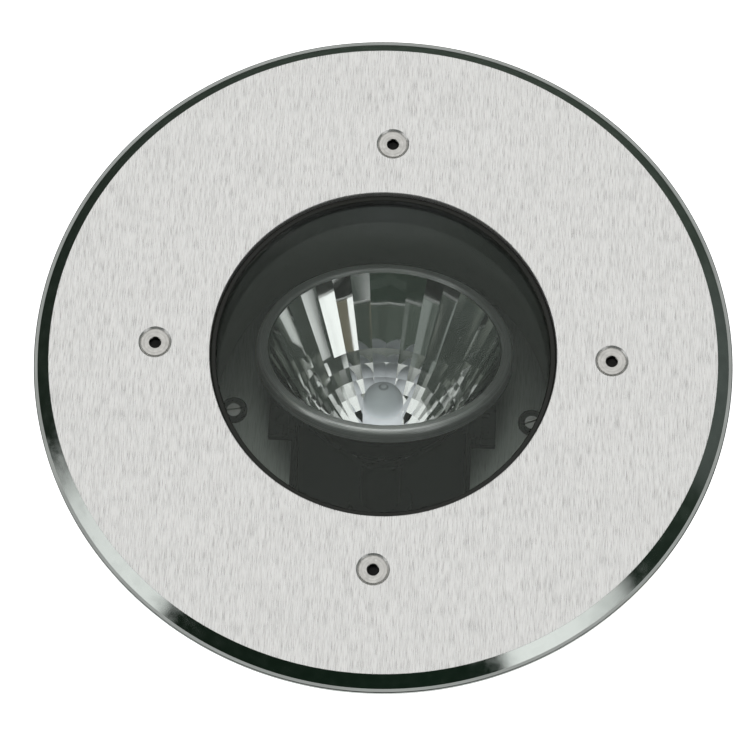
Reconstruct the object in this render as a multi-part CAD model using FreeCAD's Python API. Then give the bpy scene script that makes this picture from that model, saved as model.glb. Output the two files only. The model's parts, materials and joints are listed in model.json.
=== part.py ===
"""In ground well light: a cast housing with a bevelled round cover, a pane in a silicone gasket
and a faceted lamp head that tilts in its cradle and turns on a ring inside a dark well.

Millimetres. The origin is the centre of the underside, +Z points up out of the ground, and the
screws of the cover lie on the X and Y axes. Depths are measured down from the face of the cover.
The lamp head is drawn upright with its mouth at zero and is then hung on its pivot."""

import FreeCAD, Part
import math
import os

from FreeCAD import Vector

# ---- overall ----
HEIGHT = 210.0
CLEAR = 0.4                 # radial gap between pieces that turn past each other

# ---- cover plate and its four hexagon socket screws ----
COVER_R = 132.9
COVER_T = 4.1
COVER_BEVEL = 3.3
LIGHT_OPENING_R = 66.9
COVER_SCREWS = 4
COVER_SCREW_CIRCLE_R = 88.1
COVER_SCREW_R = 3.0
COVER_SCREW_HOLE_R = 3.3
COVER_SCREW_HEAD_R = 5.5
COVER_SCREW_HEAD_EDGE = 0.4
COVER_SCREW_RECESS = 0.5    # how far the head lies below the face
COVER_SCREW_L = 20.0
COVER_SCREW_TURNS = (10.0, 25.0, -8.0, 4.0)    # where each socket stopped
HEX_KEY = 4.0
HEX_DEPTH = 2.3
INSERT_R = 4.5
INSERT_L = 13.0

# ---- flange ring under the cover, and its screws ----
FLANGE_R = 135.0
FLANGE_T = 2.5
FLANGE_EDGE = 0.4
FLANGE_SEAT_STEP = 0.4      # the free rim is this much thinner than the clamped part
FLANGE_SEAT_GAP = 2.0       # from the deck to that step
FLANGE_BORE_GAP = 0.7
FLANGE_SCREWS = 4
FLANGE_SCREW_R = 2.5
FLANGE_SCREW_HEAD_R = 4.6
FLANGE_SCREW_HOLE_R = 2.75
FLANGE_SCREW_L = 16.0

# ---- pane and gasket ----
GLASS_R = 76.0
GLASS_T = 12.0
GLASS_EDGE = 1.0
GASKET_LIP_T = 1.5
GASKET_WEB_T = 2.3
GASKET_TOP_R = 64.5         # free edge of the lip that shows in the opening
GASKET_BEAD_GAP = 0.3
GASKET_BEAD_RISE = 1.7      # how far the bead stands up in the opening
GASKET_BEAD_ROUND = 0.5
GASKET_LOW_R = 67.6

# ---- housing casting ----
WALL = 4.0
DECK_STEP = 6.0             # how far the deck stands out over the can
DECK_T = 5.4
CAN_DEPTH = 97.0            # where the wide part ends
BASE_TOP_R = 78.0
BASE_TOP_DEPTH = 152.0      # where the narrow part starts
BASE_R = 75.0
BASE_T = 5.0
BASE_ROUND = 3.0
REBATE_GAP = 0.3
LEDGE_T = 4.0
BOSS_R = 8.0
BOSS_TO_WALL = 3.9          # from a cover screw boss to the wall of the can
BOSS_EXTRA = 5.0
FLANGE_BOSS_R = 6.0
FLANGE_BOSS_INSET = 3.0     # how far its middle is from the wall it grows from
RIBS = 12
RIB_T = 3.0
RIB_INSET = 0.4
RIB_FOOT_R = 84.0
RIB_FOOT_DEPTH = 180.0

# ---- well sleeve ----
SLEEVE_R = 68.0
SLEEVE_T = 1.5
SLEEVE_LIP_R = 64.5
SLEEVE_GAP = 0.7
STOP_W = 6.0
STOP_DROP = 4.0

# ---- turntable: tray, ring, clamp ring and their two slotted screws ----
TRAY_DEPTH = 76.4
TRAY_T = 1.5
TRAY_WINDOW_X = 36.4
TRAY_WINDOW_NEAR = 45.0
TRAY_WINDOW_R = 58.0
TRAY_NOTCH_X = 46.0
TRAY_NOTCH_Y = 12.0
RING_R = 55.5
RING_T = 3.5
CLAMP_T = 2.5
LUG_W = 4.0
LUG_REACH = 3.0             # each side of the bore of the sleeve
PAN_SCREW_CIRCLE_R = 60.4
PAN_SCREW_R = 2.0
PAN_SCREW_HEAD_R = 4.0
PAN_SCREW_HEAD_T = 2.2
PAN_SCREW_POCKET_R = 5.65
PAN_SCREW_TURNS = (20.0, 9.0)    # where each slot stopped
SLOT_W = 1.2
SLOT_DEPTH = 1.1
NUT_T = 3.2
NUT_ACROSS = 7.0

# ---- pivot ----
PIVOT_DEPTH = 80.2
REST_TILT = 27.0
PIVOT_R = 2.0
PIVOT_FIT = 0.05
PIVOT_HEAD_R = 4.0
PIVOT_HEAD_T = 2.2
FRICTION_WASHER_R = 6.0
FRICTION_WASHER_T = 2.0
EAR_T = 2.0
EAR_W = 14.0
EAR_TOP = 6.5               # above the pivot
EAR_BEND_R = 1.0

# ---- lamp head ----
MOUTH_TO_PIVOT = 40.6
COLLAR_R = 51.2
COLLAR_BORE_R = 46.6
COLLAR_H = 6.6
COLLAR_LIP_T = 1.2
COLLAR_CHAMFER = 1.2
COLLAR_OUTER_ROUND = 2.1
COLLAR_INNER_ROUND = 1.0
COLLAR_SEAT_R = 49.0
REFLECTOR_R = 46.0
REFLECTOR_T = 1.2
FOCAL = 9.0
FACET_COLUMNS = 36
FACET_BREAKS = (29.2, 34.4, 39.6, 44.5, 49.2, 54.0)   # below the rim
RIM_GAP = 0.1               # between the reflector and the bore of the collar

# ---- cradle ----
CRADLE_T = 1.5
CRADLE_W = 14.0
CRADLE_ARM_X = 36.0
CRADLE_NECK = 33.0          # where the arms turn upright, below the mouth
CRADLE_BEND_R = 3.0
CRADLE_SLOT_X = 9.5
CRADLE_SLOT_Y = 4.0

# ---- lamp and lampholder ----
LAMP_R = 8.1
LAMP_WALL = 1.0
LAMP_TIP = 22.5             # below the mouth
LAMP_NUB_R = 1.6
LAMP_NUB_H = 0.5
LAMP_SEAT = 107.0
LAMP_BASE_H = 22.0
LAMP_BASE_X = 26.0
LAMP_BASE_Y = 19.0
LAMP_SOCKET = 6.0
LAMP_PIN_R = 1.18
LAMP_PIN_L = 10.0
LAMP_PIN_PITCH = 12.0
ARC_R = 3.4
ARC_L = 11.0
CAPILLARY_R = 1.3
CAPILLARY_L = 9.0
WIRE_R = 0.4
WIRE_X = 5.4
HOLDER_X = 42.0
HOLDER_Y = 22.0
HOLDER_H = 13.0
HOLDER_ROUND = 3.0
HOLDER_LID = 2.0
HOLDER_SCREW_X = 16.0
HOLDER_SCREW_R = 1.5
HOLDER_SCREW_HEAD_R = 2.75
HOLDER_SCREW_HEAD_T = 1.8
HOLDER_NUT_T = 2.4
HOLDER_NUT_ACROSS = 5.5
CONTACT_R = 2.1
CONTACT_L = 8.0

# ---- control gear on its tray ----
GEAR_TRAY_R = 60.0
GEAR_TRAY_T = 1.5
GEAR_POSTS = 4
GEAR_POST_H = 4.0
GEAR_POST_R = 5.0
GEAR_POST_CIRCLE_R = 55.0
GEAR_SCREW_R = 2.0
GEAR_SCREW_HEAD_R = 3.5
GEAR_SCREW_HEAD_T = 2.0
GEAR_SCREW_L = 5.0
BALLAST_X = 100.0
BALLAST_Y = 66.0
GEAR_GAP = 6.0              # between the upright lamp head and the ballast
BALLAST_ROUND = 3.0
BALLAST_FOOT_T = 2.0
BALLAST_FOOT_X = 116.0
BALLAST_FOOT_Y = 20.0
BALLAST_SCREW_X = 54.0
TERMINAL_X = 30.0
TERMINAL_Y = 17.0
TERMINAL_H = 16.0
TERMINAL_STEP = 5.0
TERMINAL_PLACE_Y = 47.5
TERMINAL_WAYS = 3
TERMINAL_PITCH = 9.0
TERMINAL_WIRE_R = 2.0
TERMINAL_SCREW_R = 1.8
TERMINAL_SCREW_H = 4.0
EARTH_PLACE_Y = -65.5
EARTH_POST_R = 5.0
EARTH_POST_TOP = 15.0
EARTH_SCREW_R = 2.5
EARTH_SCREW_L = 8.0
EARTH_HEAD_ACROSS = 8.0
EARTH_HEAD_T = 3.5
EARTH_WASHER_R = 4.8
EARTH_WASHER_T = 1.0

# ---- cable glands ----
GLAND_ANGLES = (0.0, 180.0)
GLAND_Z = 27.5
GLAND_R = 10.0
GLAND_HOLE_GAP = 0.1
GLAND_BORE_R = 6.5
GLAND_ACROSS = 24.0
GLAND_HEX_T = 5.0
GLAND_NECK_L = 8.0
GLAND_NECK_R = 9.0
GLAND_TAIL_L = 18.0
GLAND_BOSS_R = 15.0
GLAND_FACE = 82.0           # flat outside face of the boss, from the middle
GLAND_BACK = 70.0           # flat inside face of the boss
GLAND_NUT_T = 5.0
GLAND_WASHER_T = 1.5
CABLE_R = 5.0
SEAL_L = 9.0
DOME_L = 15.0
DOME_OPENING_R = 6.0
DOME_ROUND = 3.0

# ---- worked out from the sizes above ----
OVER = 1.0                  # how far a cutting tool runs past a face
COVER_BOTTOM = COVER_T
CAN_R = COVER_SCREW_CIRCLE_R + BOSS_R + BOSS_TO_WALL + WALL
DECK_R = CAN_R + DECK_STEP
FLANGE_SCREW_CIRCLE_R = CAN_R - WALL - FLANGE_BOSS_INSET
FLANGE_BOTTOM = COVER_BOTTOM + FLANGE_T
GLASS_TOP = COVER_BOTTOM + GASKET_LIP_T
GLASS_BOTTOM = GLASS_TOP + GLASS_T
SLEEVE_TOP = GLASS_BOTTOM + GASKET_LIP_T
LEDGE = SLEEVE_TOP + SLEEVE_T
GASKET_R = GLASS_R + GASKET_WEB_T
REBATE_R = GASKET_R + REBATE_GAP
SLEEVE_OUT_R = SLEEVE_R + SLEEVE_T
TRAY_R = SLEEVE_R - CLEAR
RING_TOP = TRAY_DEPTH + TRAY_T
LIP_TOP = RING_TOP + RING_T
LIP_BOTTOM = LIP_TOP + SLEEVE_T
CLAMP_BOTTOM = LIP_BOTTOM + CLAMP_T
EAR_BOTTOM = CLAMP_BOTTOM + EAR_T
EAR_X = CRADLE_ARM_X + FRICTION_WASHER_T
ARC_CENTRE = COLLAR_LIP_T + REFLECTOR_R ** 2 / (4 * FOCAL) - FOCAL
GEAR_TRAY_Z = BASE_T + GEAR_POST_H
GEAR_Z = GEAR_TRAY_Z + GEAR_TRAY_T
HEAD_LOW = PIVOT_DEPTH - MOUTH_TO_PIVOT + LAMP_SEAT + CRADLE_T + HOLDER_H + HOLDER_NUT_T
BALLAST_H = HEIGHT - HEAD_LOW - GEAR_GAP - GEAR_Z
SAME_POINT = 1e-6           # points closer than this count as one
PARTS = "parts"


# ---- drawing helpers ----
def z_at(depth):
    """Height of a depth below the face of the cover."""
    return HEIGHT - depth


def rod(radius, low, high, x=0.0, y=0.0):
    """Upright cylinder between two heights."""
    return Part.makeCylinder(radius, high - low, Vector(x, y, low))


def tube(outer, inner, low, high, x=0.0, y=0.0):
    """Upright ring between two heights."""
    return rod(outer, low, high, x, y).cut(rod(inner, low - OVER, high + OVER, x, y))


def block(size_x, size_y, low, high, x=0.0, y=0.0):
    """Box centred on x and y between two heights."""
    corner = Vector(x - size_x / 2, y - size_y / 2, low)
    return Part.makeBox(size_x, size_y, high - low, corner)


def rounded_block(size_x, size_y, radius, low, high, x=0.0, y=0.0):
    """Box with its upright edges rounded."""
    half_x = size_x / 2
    half_y = size_y / 2
    corners = [(x - half_x, y - half_y), (x + half_x, y - half_y),
               (x + half_x, y + half_y), (x - half_x, y + half_y)]
    outline = path([Vector(a, b, low) for a, b in corners], [radius] * len(corners))
    return Part.Face(outline).extrude(Vector(0, 0, high - low))


def path(points, rounds):
    """Closed wire through points, with an arc of the given radius at each one."""
    ends = []
    arcs = {}
    count = len(points)
    for i, corner in enumerate(points):
        before = (points[i - 1] - corner).normalize()
        after = (points[(i + 1) % count] - corner).normalize()
        if rounds[i] <= 0:
            ends.append((corner, corner))
            continue
        half_angle = before.getAngle(after) / 2
        reach = rounds[i] / math.tan(half_angle)
        first = corner + before * reach
        last = corner + after * reach
        middle_way = (before + after).normalize()
        middle = corner + middle_way * (rounds[i] / math.sin(half_angle) - rounds[i])
        ends.append((first, last))
        arcs[i] = Part.Arc(first, middle, last).toShape()
    outline = []
    for i in range(count):
        if i in arcs:
            outline.append(arcs[i])
        here = ends[i][1]
        there = ends[(i + 1) % count][0]
        if here.distanceToPoint(there) > SAME_POINT:
            outline.append(Part.LineSegment(here, there).toShape())
    return Part.Wire(Part.__sortEdges__(outline))


def turned(profile):
    """Solid turned about Z from (radius, height) or (radius, height, round) corners."""
    points = [Vector(p[0], 0, p[1]) for p in profile]
    rounds = [p[2] if len(p) > 2 else 0 for p in profile]
    face = Part.Face(path(points, rounds))
    return face.revolve(Vector(0, 0, 0), Vector(0, 0, 1), 360)


def hexagon(across, low, high, x=0.0, y=0.0, turn=0.0):
    """Upright six sided bar."""
    corner_r = across / math.sqrt(3)
    points = []
    for i in range(6):
        angle = math.radians(60 * i + turn)
        points.append(Vector(x + corner_r * math.cos(angle), y + corner_r * math.sin(angle), low))
    return Part.Face(path(points, [0] * 6)).extrude(Vector(0, 0, high - low))


def around(shape, count, start=0.0):
    """Copies of a shape, evenly spaced about Z."""
    copies = []
    for i in range(count):
        copy = shape.copy()
        copy.rotate(Vector(0, 0, 0), Vector(0, 0, 1), start + 360.0 * i / count)
        copies.append(copy)
    return copies


def both_sides(shape):
    """A shape and its mirror image across the YZ plane."""
    return [shape, shape.mirror(Vector(0, 0, 0), Vector(1, 0, 0))]


def cut_all(shape, tools):
    """A shape with every tool cut away."""
    return shape.cut(Part.Compound(tools))


def join(shapes):
    """One solid from shapes that touch or overlap."""
    first = shapes[0]
    return first.fuse(shapes[1:]).removeSplitter()


def outward(shape, angle, height):
    """Turns a shape drawn along +Z so that it points out from the middle at an angle."""
    shape.rotate(Vector(0, 0, 0), Vector(0, 1, 0), 90)
    shape.rotate(Vector(0, 0, 0), Vector(0, 0, 1), angle)
    shape.translate(Vector(0, 0, height))
    return shape


def hang_head(shape):
    """Puts a shape drawn with the lamp mouth at zero on its pivot, at the rest tilt."""
    shape.translate(Vector(0, 0, MOUTH_TO_PIVOT))
    shape.rotate(Vector(0, 0, 0), Vector(1, 0, 0), -REST_TILT)
    shape.translate(Vector(0, 0, z_at(PIVOT_DEPTH)))
    return shape


# ---- housing and flange ----
def countersunk(x, y, top, shaft_r, head_r, edge, length):
    """Countersunk screw with its head's top at a height."""
    cone_low = top - edge - (head_r - shaft_r)
    profile = [(0, top), (head_r, top)]
    if edge > 0:
        profile.append((head_r, top - edge))
    profile += [(shaft_r, cone_low), (shaft_r, top - length), (0, top - length)]
    screw = turned(profile)
    screw.translate(Vector(x, y, 0))
    return screw


def countersink(x, y, top, hole_r, head_r, sink, bottom):
    """Cutting tool for a 90 degree countersink and its clearance hole."""
    mouth_r = head_r + sink
    profile = [(0, top + OVER), (mouth_r + OVER, top + OVER), (hole_r, top - mouth_r + hole_r),
               (hole_r, bottom - OVER), (0, bottom - OVER)]
    tool = turned(profile)
    tool.translate(Vector(x, y, 0))
    return tool


def cover_plate():
    """Bevelled round plate with the light opening and four countersunk holes."""
    top = z_at(0)
    bottom = z_at(COVER_BOTTOM)
    plate = turned([(LIGHT_OPENING_R, bottom), (COVER_R, bottom),
                    (COVER_R - COVER_BEVEL, top), (LIGHT_OPENING_R, top)])
    sink = COVER_SCREW_RECESS + COVER_SCREW_HEAD_EDGE
    tool = countersink(COVER_SCREW_CIRCLE_R, 0, top, COVER_SCREW_HOLE_R,
                       COVER_SCREW_HEAD_R, sink, bottom)
    return cut_all(plate, around(tool, COVER_SCREWS))


def cover_screws():
    """Hexagon socket countersunk screws; each stopped at its own angle."""
    top = z_at(COVER_SCREW_RECESS)
    screw = countersunk(0, 0, top, COVER_SCREW_R, COVER_SCREW_HEAD_R,
                        COVER_SCREW_HEAD_EDGE, COVER_SCREW_L)
    screw = screw.cut(hexagon(HEX_KEY, top - HEX_DEPTH, top + OVER))
    screws = []
    for i, turn in enumerate(COVER_SCREW_TURNS):
        place = 2 * math.pi * i / COVER_SCREWS
        copy = screw.copy()
        copy.rotate(Vector(0, 0, 0), Vector(0, 0, 1), turn)
        copy.translate(Vector(math.cos(place), math.sin(place), 0) * COVER_SCREW_CIRCLE_R)
        screws.append(copy)
    return Part.Compound(screws)


def screw_inserts():
    """Threaded bushes set in the housing bosses for the cover screws."""
    high = z_at(FLANGE_BOTTOM)
    bush = tube(INSERT_R, COVER_SCREW_R, high - INSERT_L, high, COVER_SCREW_CIRCLE_R)
    return Part.Compound(around(bush, COVER_SCREWS))


def flange_ring():
    """Flat ring clamped under the cover; its edge shows as a satin lip round the cover."""
    top = z_at(COVER_BOTTOM)
    bottom = z_at(FLANGE_BOTTOM)
    bore = REBATE_R + FLANGE_BORE_GAP
    rim = bottom + FLANGE_SEAT_STEP
    step_r = DECK_R + FLANGE_SEAT_GAP
    ring = turned([(bore, bottom), (step_r, bottom), (step_r, rim), (FLANGE_R - FLANGE_EDGE, rim),
                   (FLANGE_R, rim + FLANGE_EDGE), (FLANGE_R, top - FLANGE_EDGE),
                   (FLANGE_R - FLANGE_EDGE, top), (bore, top)])
    cover_hole = rod(COVER_SCREW_HOLE_R, bottom - OVER, top + OVER, COVER_SCREW_CIRCLE_R)
    sink = countersink(FLANGE_SCREW_CIRCLE_R, 0, top, FLANGE_SCREW_R, FLANGE_SCREW_HEAD_R, 0, bottom)
    tools = around(cover_hole, COVER_SCREWS) + around(sink, FLANGE_SCREWS, 180.0 / FLANGE_SCREWS)
    return cut_all(ring, tools)


def flange_screws():
    """Countersunk screws through flange ring and housing ring into the can."""
    screw = countersunk(FLANGE_SCREW_CIRCLE_R, 0, z_at(COVER_BOTTOM), FLANGE_SCREW_R,
                        FLANGE_SCREW_HEAD_R, 0.0, FLANGE_SCREW_L)
    return Part.Compound(around(screw, FLANGE_SCREWS, 180.0 / FLANGE_SCREWS))


def housing_outside():
    """Turned outside of the can: wide part, cone and narrow base."""
    return turned([(0, 0), (BASE_R, 0, BASE_ROUND), (BASE_TOP_R, z_at(BASE_TOP_DEPTH), WALL),
                   (CAN_R, z_at(CAN_DEPTH), WALL), (CAN_R, z_at(FLANGE_BOTTOM) - DECK_T),
                   (0, z_at(FLANGE_BOTTOM) - DECK_T)])


def housing_inside():
    """Turned hollow of the can, open at the top."""
    open_top = z_at(FLANGE_BOTTOM) - DECK_T + OVER
    return turned([(0, BASE_T), (BASE_R - WALL, BASE_T, BASE_ROUND),
                   (BASE_TOP_R - WALL, z_at(BASE_TOP_DEPTH), WALL),
                   (CAN_R - WALL, z_at(CAN_DEPTH), WALL), (CAN_R - WALL, open_top), (0, open_top)])


def housing_fins():
    """Upright cooling fins that fill the step between the wide can and the base."""
    half = WALL / 2
    corners = [(CAN_R - half, z_at(CAN_DEPTH)), (CAN_R - RIB_INSET, z_at(CAN_DEPTH)),
               (RIB_FOOT_R, z_at(RIB_FOOT_DEPTH)), (BASE_R - half, z_at(RIB_FOOT_DEPTH)),
               (BASE_TOP_R - half, z_at(BASE_TOP_DEPTH))]
    outline = path([Vector(r, -RIB_T / 2, z) for r, z in corners], [0] * len(corners))
    fin = Part.Face(outline).extrude(Vector(0, RIB_T, 0)).cut(housing_outside())
    return Part.Compound(around(fin, RIBS, 180.0 / RIBS))


def gland_pad(angle):
    """Boss with a flat face inside and outside for one cable gland."""
    return outward(rod(GLAND_BOSS_R, GLAND_BACK, GLAND_FACE), angle, GLAND_Z)


def gland_hole(angle):
    """Cutting tool for the hole of one cable gland."""
    hole = rod(GLAND_R + GLAND_HOLE_GAP, GLAND_BACK - OVER, GLAND_FACE + OVER)
    return outward(hole, angle, GLAND_Z)


def housing():
    """The can with its bosses, posts and gland holes."""
    top = z_at(FLANGE_BOTTOM) - DECK_T
    screw_end = z_at(COVER_BOTTOM) - FLANGE_SCREW_L
    boss = rod(FLANGE_BOSS_R, screw_end - WALL, top, FLANGE_SCREW_CIRCLE_R)
    post = rod(GEAR_POST_R, BASE_T - OVER, GEAR_TRAY_Z, GEAR_POST_CIRCLE_R)
    earth_post = rod(EARTH_POST_R, BASE_T - OVER, EARTH_POST_TOP, 0, EARTH_PLACE_Y)
    added = around(boss, FLANGE_SCREWS, 180.0 / FLANGE_SCREWS)
    added += around(post, GEAR_POSTS, 180.0 / GEAR_POSTS) + [earth_post]
    added += [gland_pad(angle) for angle in GLAND_ANGLES]
    body = join([housing_outside().cut(housing_inside())] + added)

    flange_thread = rod(FLANGE_SCREW_R, screw_end, top + OVER, FLANGE_SCREW_CIRCLE_R)
    gear_thread = rod(GEAR_SCREW_R, GEAR_Z - GEAR_SCREW_L, GEAR_TRAY_Z + OVER, GEAR_POST_CIRCLE_R)
    earth_thread = rod(EARTH_SCREW_R, EARTH_POST_TOP + EARTH_WASHER_T - EARTH_SCREW_L,
                       EARTH_POST_TOP + OVER, 0, EARTH_PLACE_Y)
    tools = around(flange_thread, FLANGE_SCREWS, 180.0 / FLANGE_SCREWS)
    tools += around(gear_thread, GEAR_POSTS, 180.0 / GEAR_POSTS) + [earth_thread]
    tools += [gland_hole(angle) for angle in GLAND_ANGLES]
    return cut_all(body, tools)


def housing_ring():
    """Cast ring on the can: deck, rebate with the ledge for the pane, and the screw bosses."""
    top = z_at(FLANGE_BOTTOM)
    low = top - DECK_T
    neck_r = REBATE_R + WALL
    ledge_r = SLEEVE_OUT_R + SLEEVE_GAP
    ring = turned([(REBATE_R, top), (DECK_R, top), (DECK_R, low), (neck_r, low),
                   (neck_r, z_at(LEDGE) - LEDGE_T), (ledge_r, z_at(LEDGE) - LEDGE_T),
                   (ledge_r, z_at(LEDGE)), (REBATE_R, z_at(LEDGE))])
    boss = rod(BOSS_R, top - INSERT_L - BOSS_EXTRA, low + OVER, COVER_SCREW_CIRCLE_R)
    boss = boss.cut(rod(neck_r - OVER, top - INSERT_L - BOSS_EXTRA - OVER, top))
    body = join([ring] + around(boss, COVER_SCREWS))

    bore = rod(INSERT_R, top - INSERT_L, top + OVER, COVER_SCREW_CIRCLE_R)
    screw_end = z_at(COVER_SCREW_RECESS) - COVER_SCREW_L
    drill = rod(COVER_SCREW_HOLE_R, screw_end - OVER, top, COVER_SCREW_CIRCLE_R)
    hole = rod(FLANGE_SCREW_HOLE_R, low - OVER, top + OVER, FLANGE_SCREW_CIRCLE_R)
    tools = around(bore, COVER_SCREWS) + around(drill, COVER_SCREWS)
    tools += around(hole, FLANGE_SCREWS, 180.0 / FLANGE_SCREWS)
    return cut_all(body, tools)


# ---- pane, gasket and well ----
def glass_pane():
    """Thick tempered pane with ground edges."""
    low = z_at(GLASS_BOTTOM)
    high = z_at(GLASS_TOP)
    flat_r = GLASS_R - GLASS_EDGE
    return turned([(0, low), (flat_r, low), (GLASS_R, low + GLASS_EDGE),
                   (GLASS_R, high - GLASS_EDGE), (flat_r, high), (0, high)])


def glass_gasket():
    """Silicone channel round the pane, with a bead that fills the edge of the light opening."""
    bead_r = LIGHT_OPENING_R - GASKET_BEAD_GAP
    bead_top = z_at(COVER_BOTTOM - GASKET_BEAD_RISE)
    low = z_at(SLEEVE_TOP)
    high = z_at(COVER_BOTTOM)
    under = z_at(GLASS_BOTTOM)
    over = z_at(GLASS_TOP)
    return turned([(GASKET_LOW_R, low), (GASKET_R, low), (GASKET_R, high), (bead_r, high),
                   (bead_r, bead_top, GASKET_BEAD_ROUND), (GASKET_TOP_R, bead_top, GASKET_BEAD_ROUND),
                   (GASKET_TOP_R, over), (GLASS_R - GLASS_EDGE, over), (GLASS_R, over - GLASS_EDGE),
                   (GLASS_R, under + GLASS_EDGE), (GLASS_R - GLASS_EDGE, under),
                   (GASKET_LOW_R, under)])


def well_sleeve():
    """Flanged sleeve that hangs in the housing, with a lip for the turntable and a stop tab."""
    top = z_at(SLEEVE_TOP)
    ledge = z_at(LEDGE)
    lip_top = z_at(LIP_TOP)
    lip_low = z_at(LIP_BOTTOM)
    sleeve = turned([(SLEEVE_LIP_R, lip_low), (SLEEVE_OUT_R, lip_low), (SLEEVE_OUT_R, ledge),
                     (GASKET_R, ledge), (GASKET_R, top), (SLEEVE_R, top, SLEEVE_T),
                     (SLEEVE_R, lip_top), (SLEEVE_LIP_R, lip_top)])
    tab = tube(SLEEVE_OUT_R, SLEEVE_R, lip_low - STOP_DROP, lip_low)
    tab = tab.common(block(STOP_W, 2 * SLEEVE_T + OVER, lip_low - STOP_DROP, lip_low, 0, SLEEVE_R))
    return join([sleeve, tab])


# ---- turntable ----
def tray():
    """Round tray with the rectangular window for the lamp head and two screw pockets."""
    low = z_at(RING_TOP)
    high = z_at(TRAY_DEPTH)
    disc = rod(TRAY_R, low, high)
    reach = TRAY_WINDOW_NEAR + TRAY_WINDOW_R
    middle = (TRAY_WINDOW_R - TRAY_WINDOW_NEAR) / 2
    window = block(2 * TRAY_WINDOW_X, reach, low - OVER, high + OVER, 0, middle)
    window = window.common(rod(TRAY_WINDOW_R, low - OVER, high + OVER))
    notch = block(2 * TRAY_NOTCH_X, 2 * TRAY_NOTCH_Y, low - OVER, high + OVER)
    pocket = rod(PAN_SCREW_POCKET_R, low - OVER, high + OVER, PAN_SCREW_CIRCLE_R)
    return cut_all(disc, [window.fuse(notch)] + around(pocket, 2))


def turntable_ring():
    """Ring that turns on the lip of the sleeve and carries the tray."""
    top = z_at(RING_TOP)
    shoulder = z_at(LIP_TOP)
    low = z_at(LIP_BOTTOM)
    ring = turned([(RING_R, low), (SLEEVE_LIP_R - CLEAR, low), (SLEEVE_LIP_R - CLEAR, shoulder),
                   (TRAY_R, shoulder), (TRAY_R, top), (RING_R, top)])
    hole = rod(PAN_SCREW_R, low - OVER, top + OVER, PAN_SCREW_CIRCLE_R)
    return cut_all(ring, around(hole, 2))


def pan_clamp_ring():
    """Ring pulled up against the underside of the lip, with the lug that meets the stop tab."""
    top = z_at(LIP_BOTTOM)
    low = z_at(CLAMP_BOTTOM)
    ring = tube(TRAY_R, RING_R, low, top)
    lug = tube(SLEEVE_OUT_R, RING_R + OVER, low, top - CLEAR)
    lug = lug.common(block(LUG_W, 2 * LUG_REACH, low, top, 0, -SLEEVE_R))
    hole = rod(PAN_SCREW_R, low - OVER, top + OVER, PAN_SCREW_CIRCLE_R)
    return cut_all(join([ring, lug]), around(hole, 2))


def pivot_bracket():
    """Angle bracket: the foot under the clamp ring, the ear upright beside the lamp head."""
    low = z_at(EAR_BOTTOM)
    foot_top = z_at(CLAMP_BOTTOM)
    pivot_z = z_at(PIVOT_DEPTH)
    top = pivot_z + EAR_TOP
    end = PAN_SCREW_CIRCLE_R + PAN_SCREW_HEAD_R
    corners = [(EAR_X, low, EAR_BEND_R + EAR_T), (end, low, 0), (end, foot_top, 0),
               (EAR_X + EAR_T, foot_top, EAR_BEND_R), (EAR_X + EAR_T, top, 0), (EAR_X, top, 0)]
    outline = path([Vector(x, -EAR_W / 2, z) for x, z, r in corners], [r for x, z, r in corners])
    bracket = Part.Face(outline).extrude(Vector(0, EAR_W, 0))
    ear_end = Part.makeCylinder(EAR_W / 2, EAR_T + 2 * OVER, Vector(EAR_X - OVER, 0, top - EAR_W / 2),
                                Vector(1, 0, 0))
    squared = block(EAR_T + 2 * OVER, EAR_W + OVER, top - EAR_W / 2, top + OVER, EAR_X + EAR_T / 2)
    bracket = bracket.cut(squared.cut(ear_end))
    bore = Part.makeCylinder(PIVOT_R + PIVOT_FIT, EAR_T + 2 * OVER, Vector(EAR_X - OVER, 0, pivot_z),
                             Vector(1, 0, 0))
    hole = rod(PAN_SCREW_R, low - OVER, foot_top + OVER, PAN_SCREW_CIRCLE_R)
    return cut_all(bracket, [bore, hole])


def pivot_brackets():
    """The two angle brackets."""
    return Part.Compound(both_sides(pivot_bracket()))


def pan_screws():
    """Slotted cheese head screws that clamp the turntable to the lip."""
    seat = z_at(RING_TOP)
    head = rod(PAN_SCREW_HEAD_R, seat, seat + PAN_SCREW_HEAD_T, PAN_SCREW_CIRCLE_R)
    shank = rod(PAN_SCREW_R, z_at(EAR_BOTTOM) - NUT_T, seat + OVER, PAN_SCREW_CIRCLE_R)
    screws = []
    for screw, turn in zip(around(join([shank, head]), 2), PAN_SCREW_TURNS):
        slot = block(2 * PAN_SCREW_HEAD_R + OVER, SLOT_W, seat + PAN_SCREW_HEAD_T - SLOT_DEPTH,
                     seat + PAN_SCREW_HEAD_T + OVER)
        slot.rotate(Vector(0, 0, 0), Vector(0, 0, 1), turn)
        side = PAN_SCREW_CIRCLE_R if not screws else -PAN_SCREW_CIRCLE_R
        slot.translate(Vector(side, 0, 0))
        screws.append(screw.cut(slot))
    return Part.Compound(screws)


def pan_nuts():
    """Nuts under the brackets on the two slotted screws."""
    high = z_at(EAR_BOTTOM)
    nut = hexagon(NUT_ACROSS, high - NUT_T, high, PAN_SCREW_CIRCLE_R)
    nut = nut.cut(rod(PAN_SCREW_R, high - NUT_T - OVER, high + OVER, PAN_SCREW_CIRCLE_R))
    return Part.Compound(around(nut, 2))


# ---- lamp head, drawn upright with the mouth at zero ----
def collar():
    """Turned collar with a rounded rim and a seat for the reflector."""
    ring = turned([(COLLAR_SEAT_R, -COLLAR_H), (COLLAR_R - COLLAR_CHAMFER, -COLLAR_H),
                   (COLLAR_R, COLLAR_CHAMFER - COLLAR_H), (COLLAR_R, 0, COLLAR_OUTER_ROUND),
                   (COLLAR_BORE_R, 0, COLLAR_INNER_ROUND), (COLLAR_BORE_R, -COLLAR_LIP_T),
                   (COLLAR_SEAT_R, -COLLAR_LIP_T)])
    return hang_head(ring)


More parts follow.
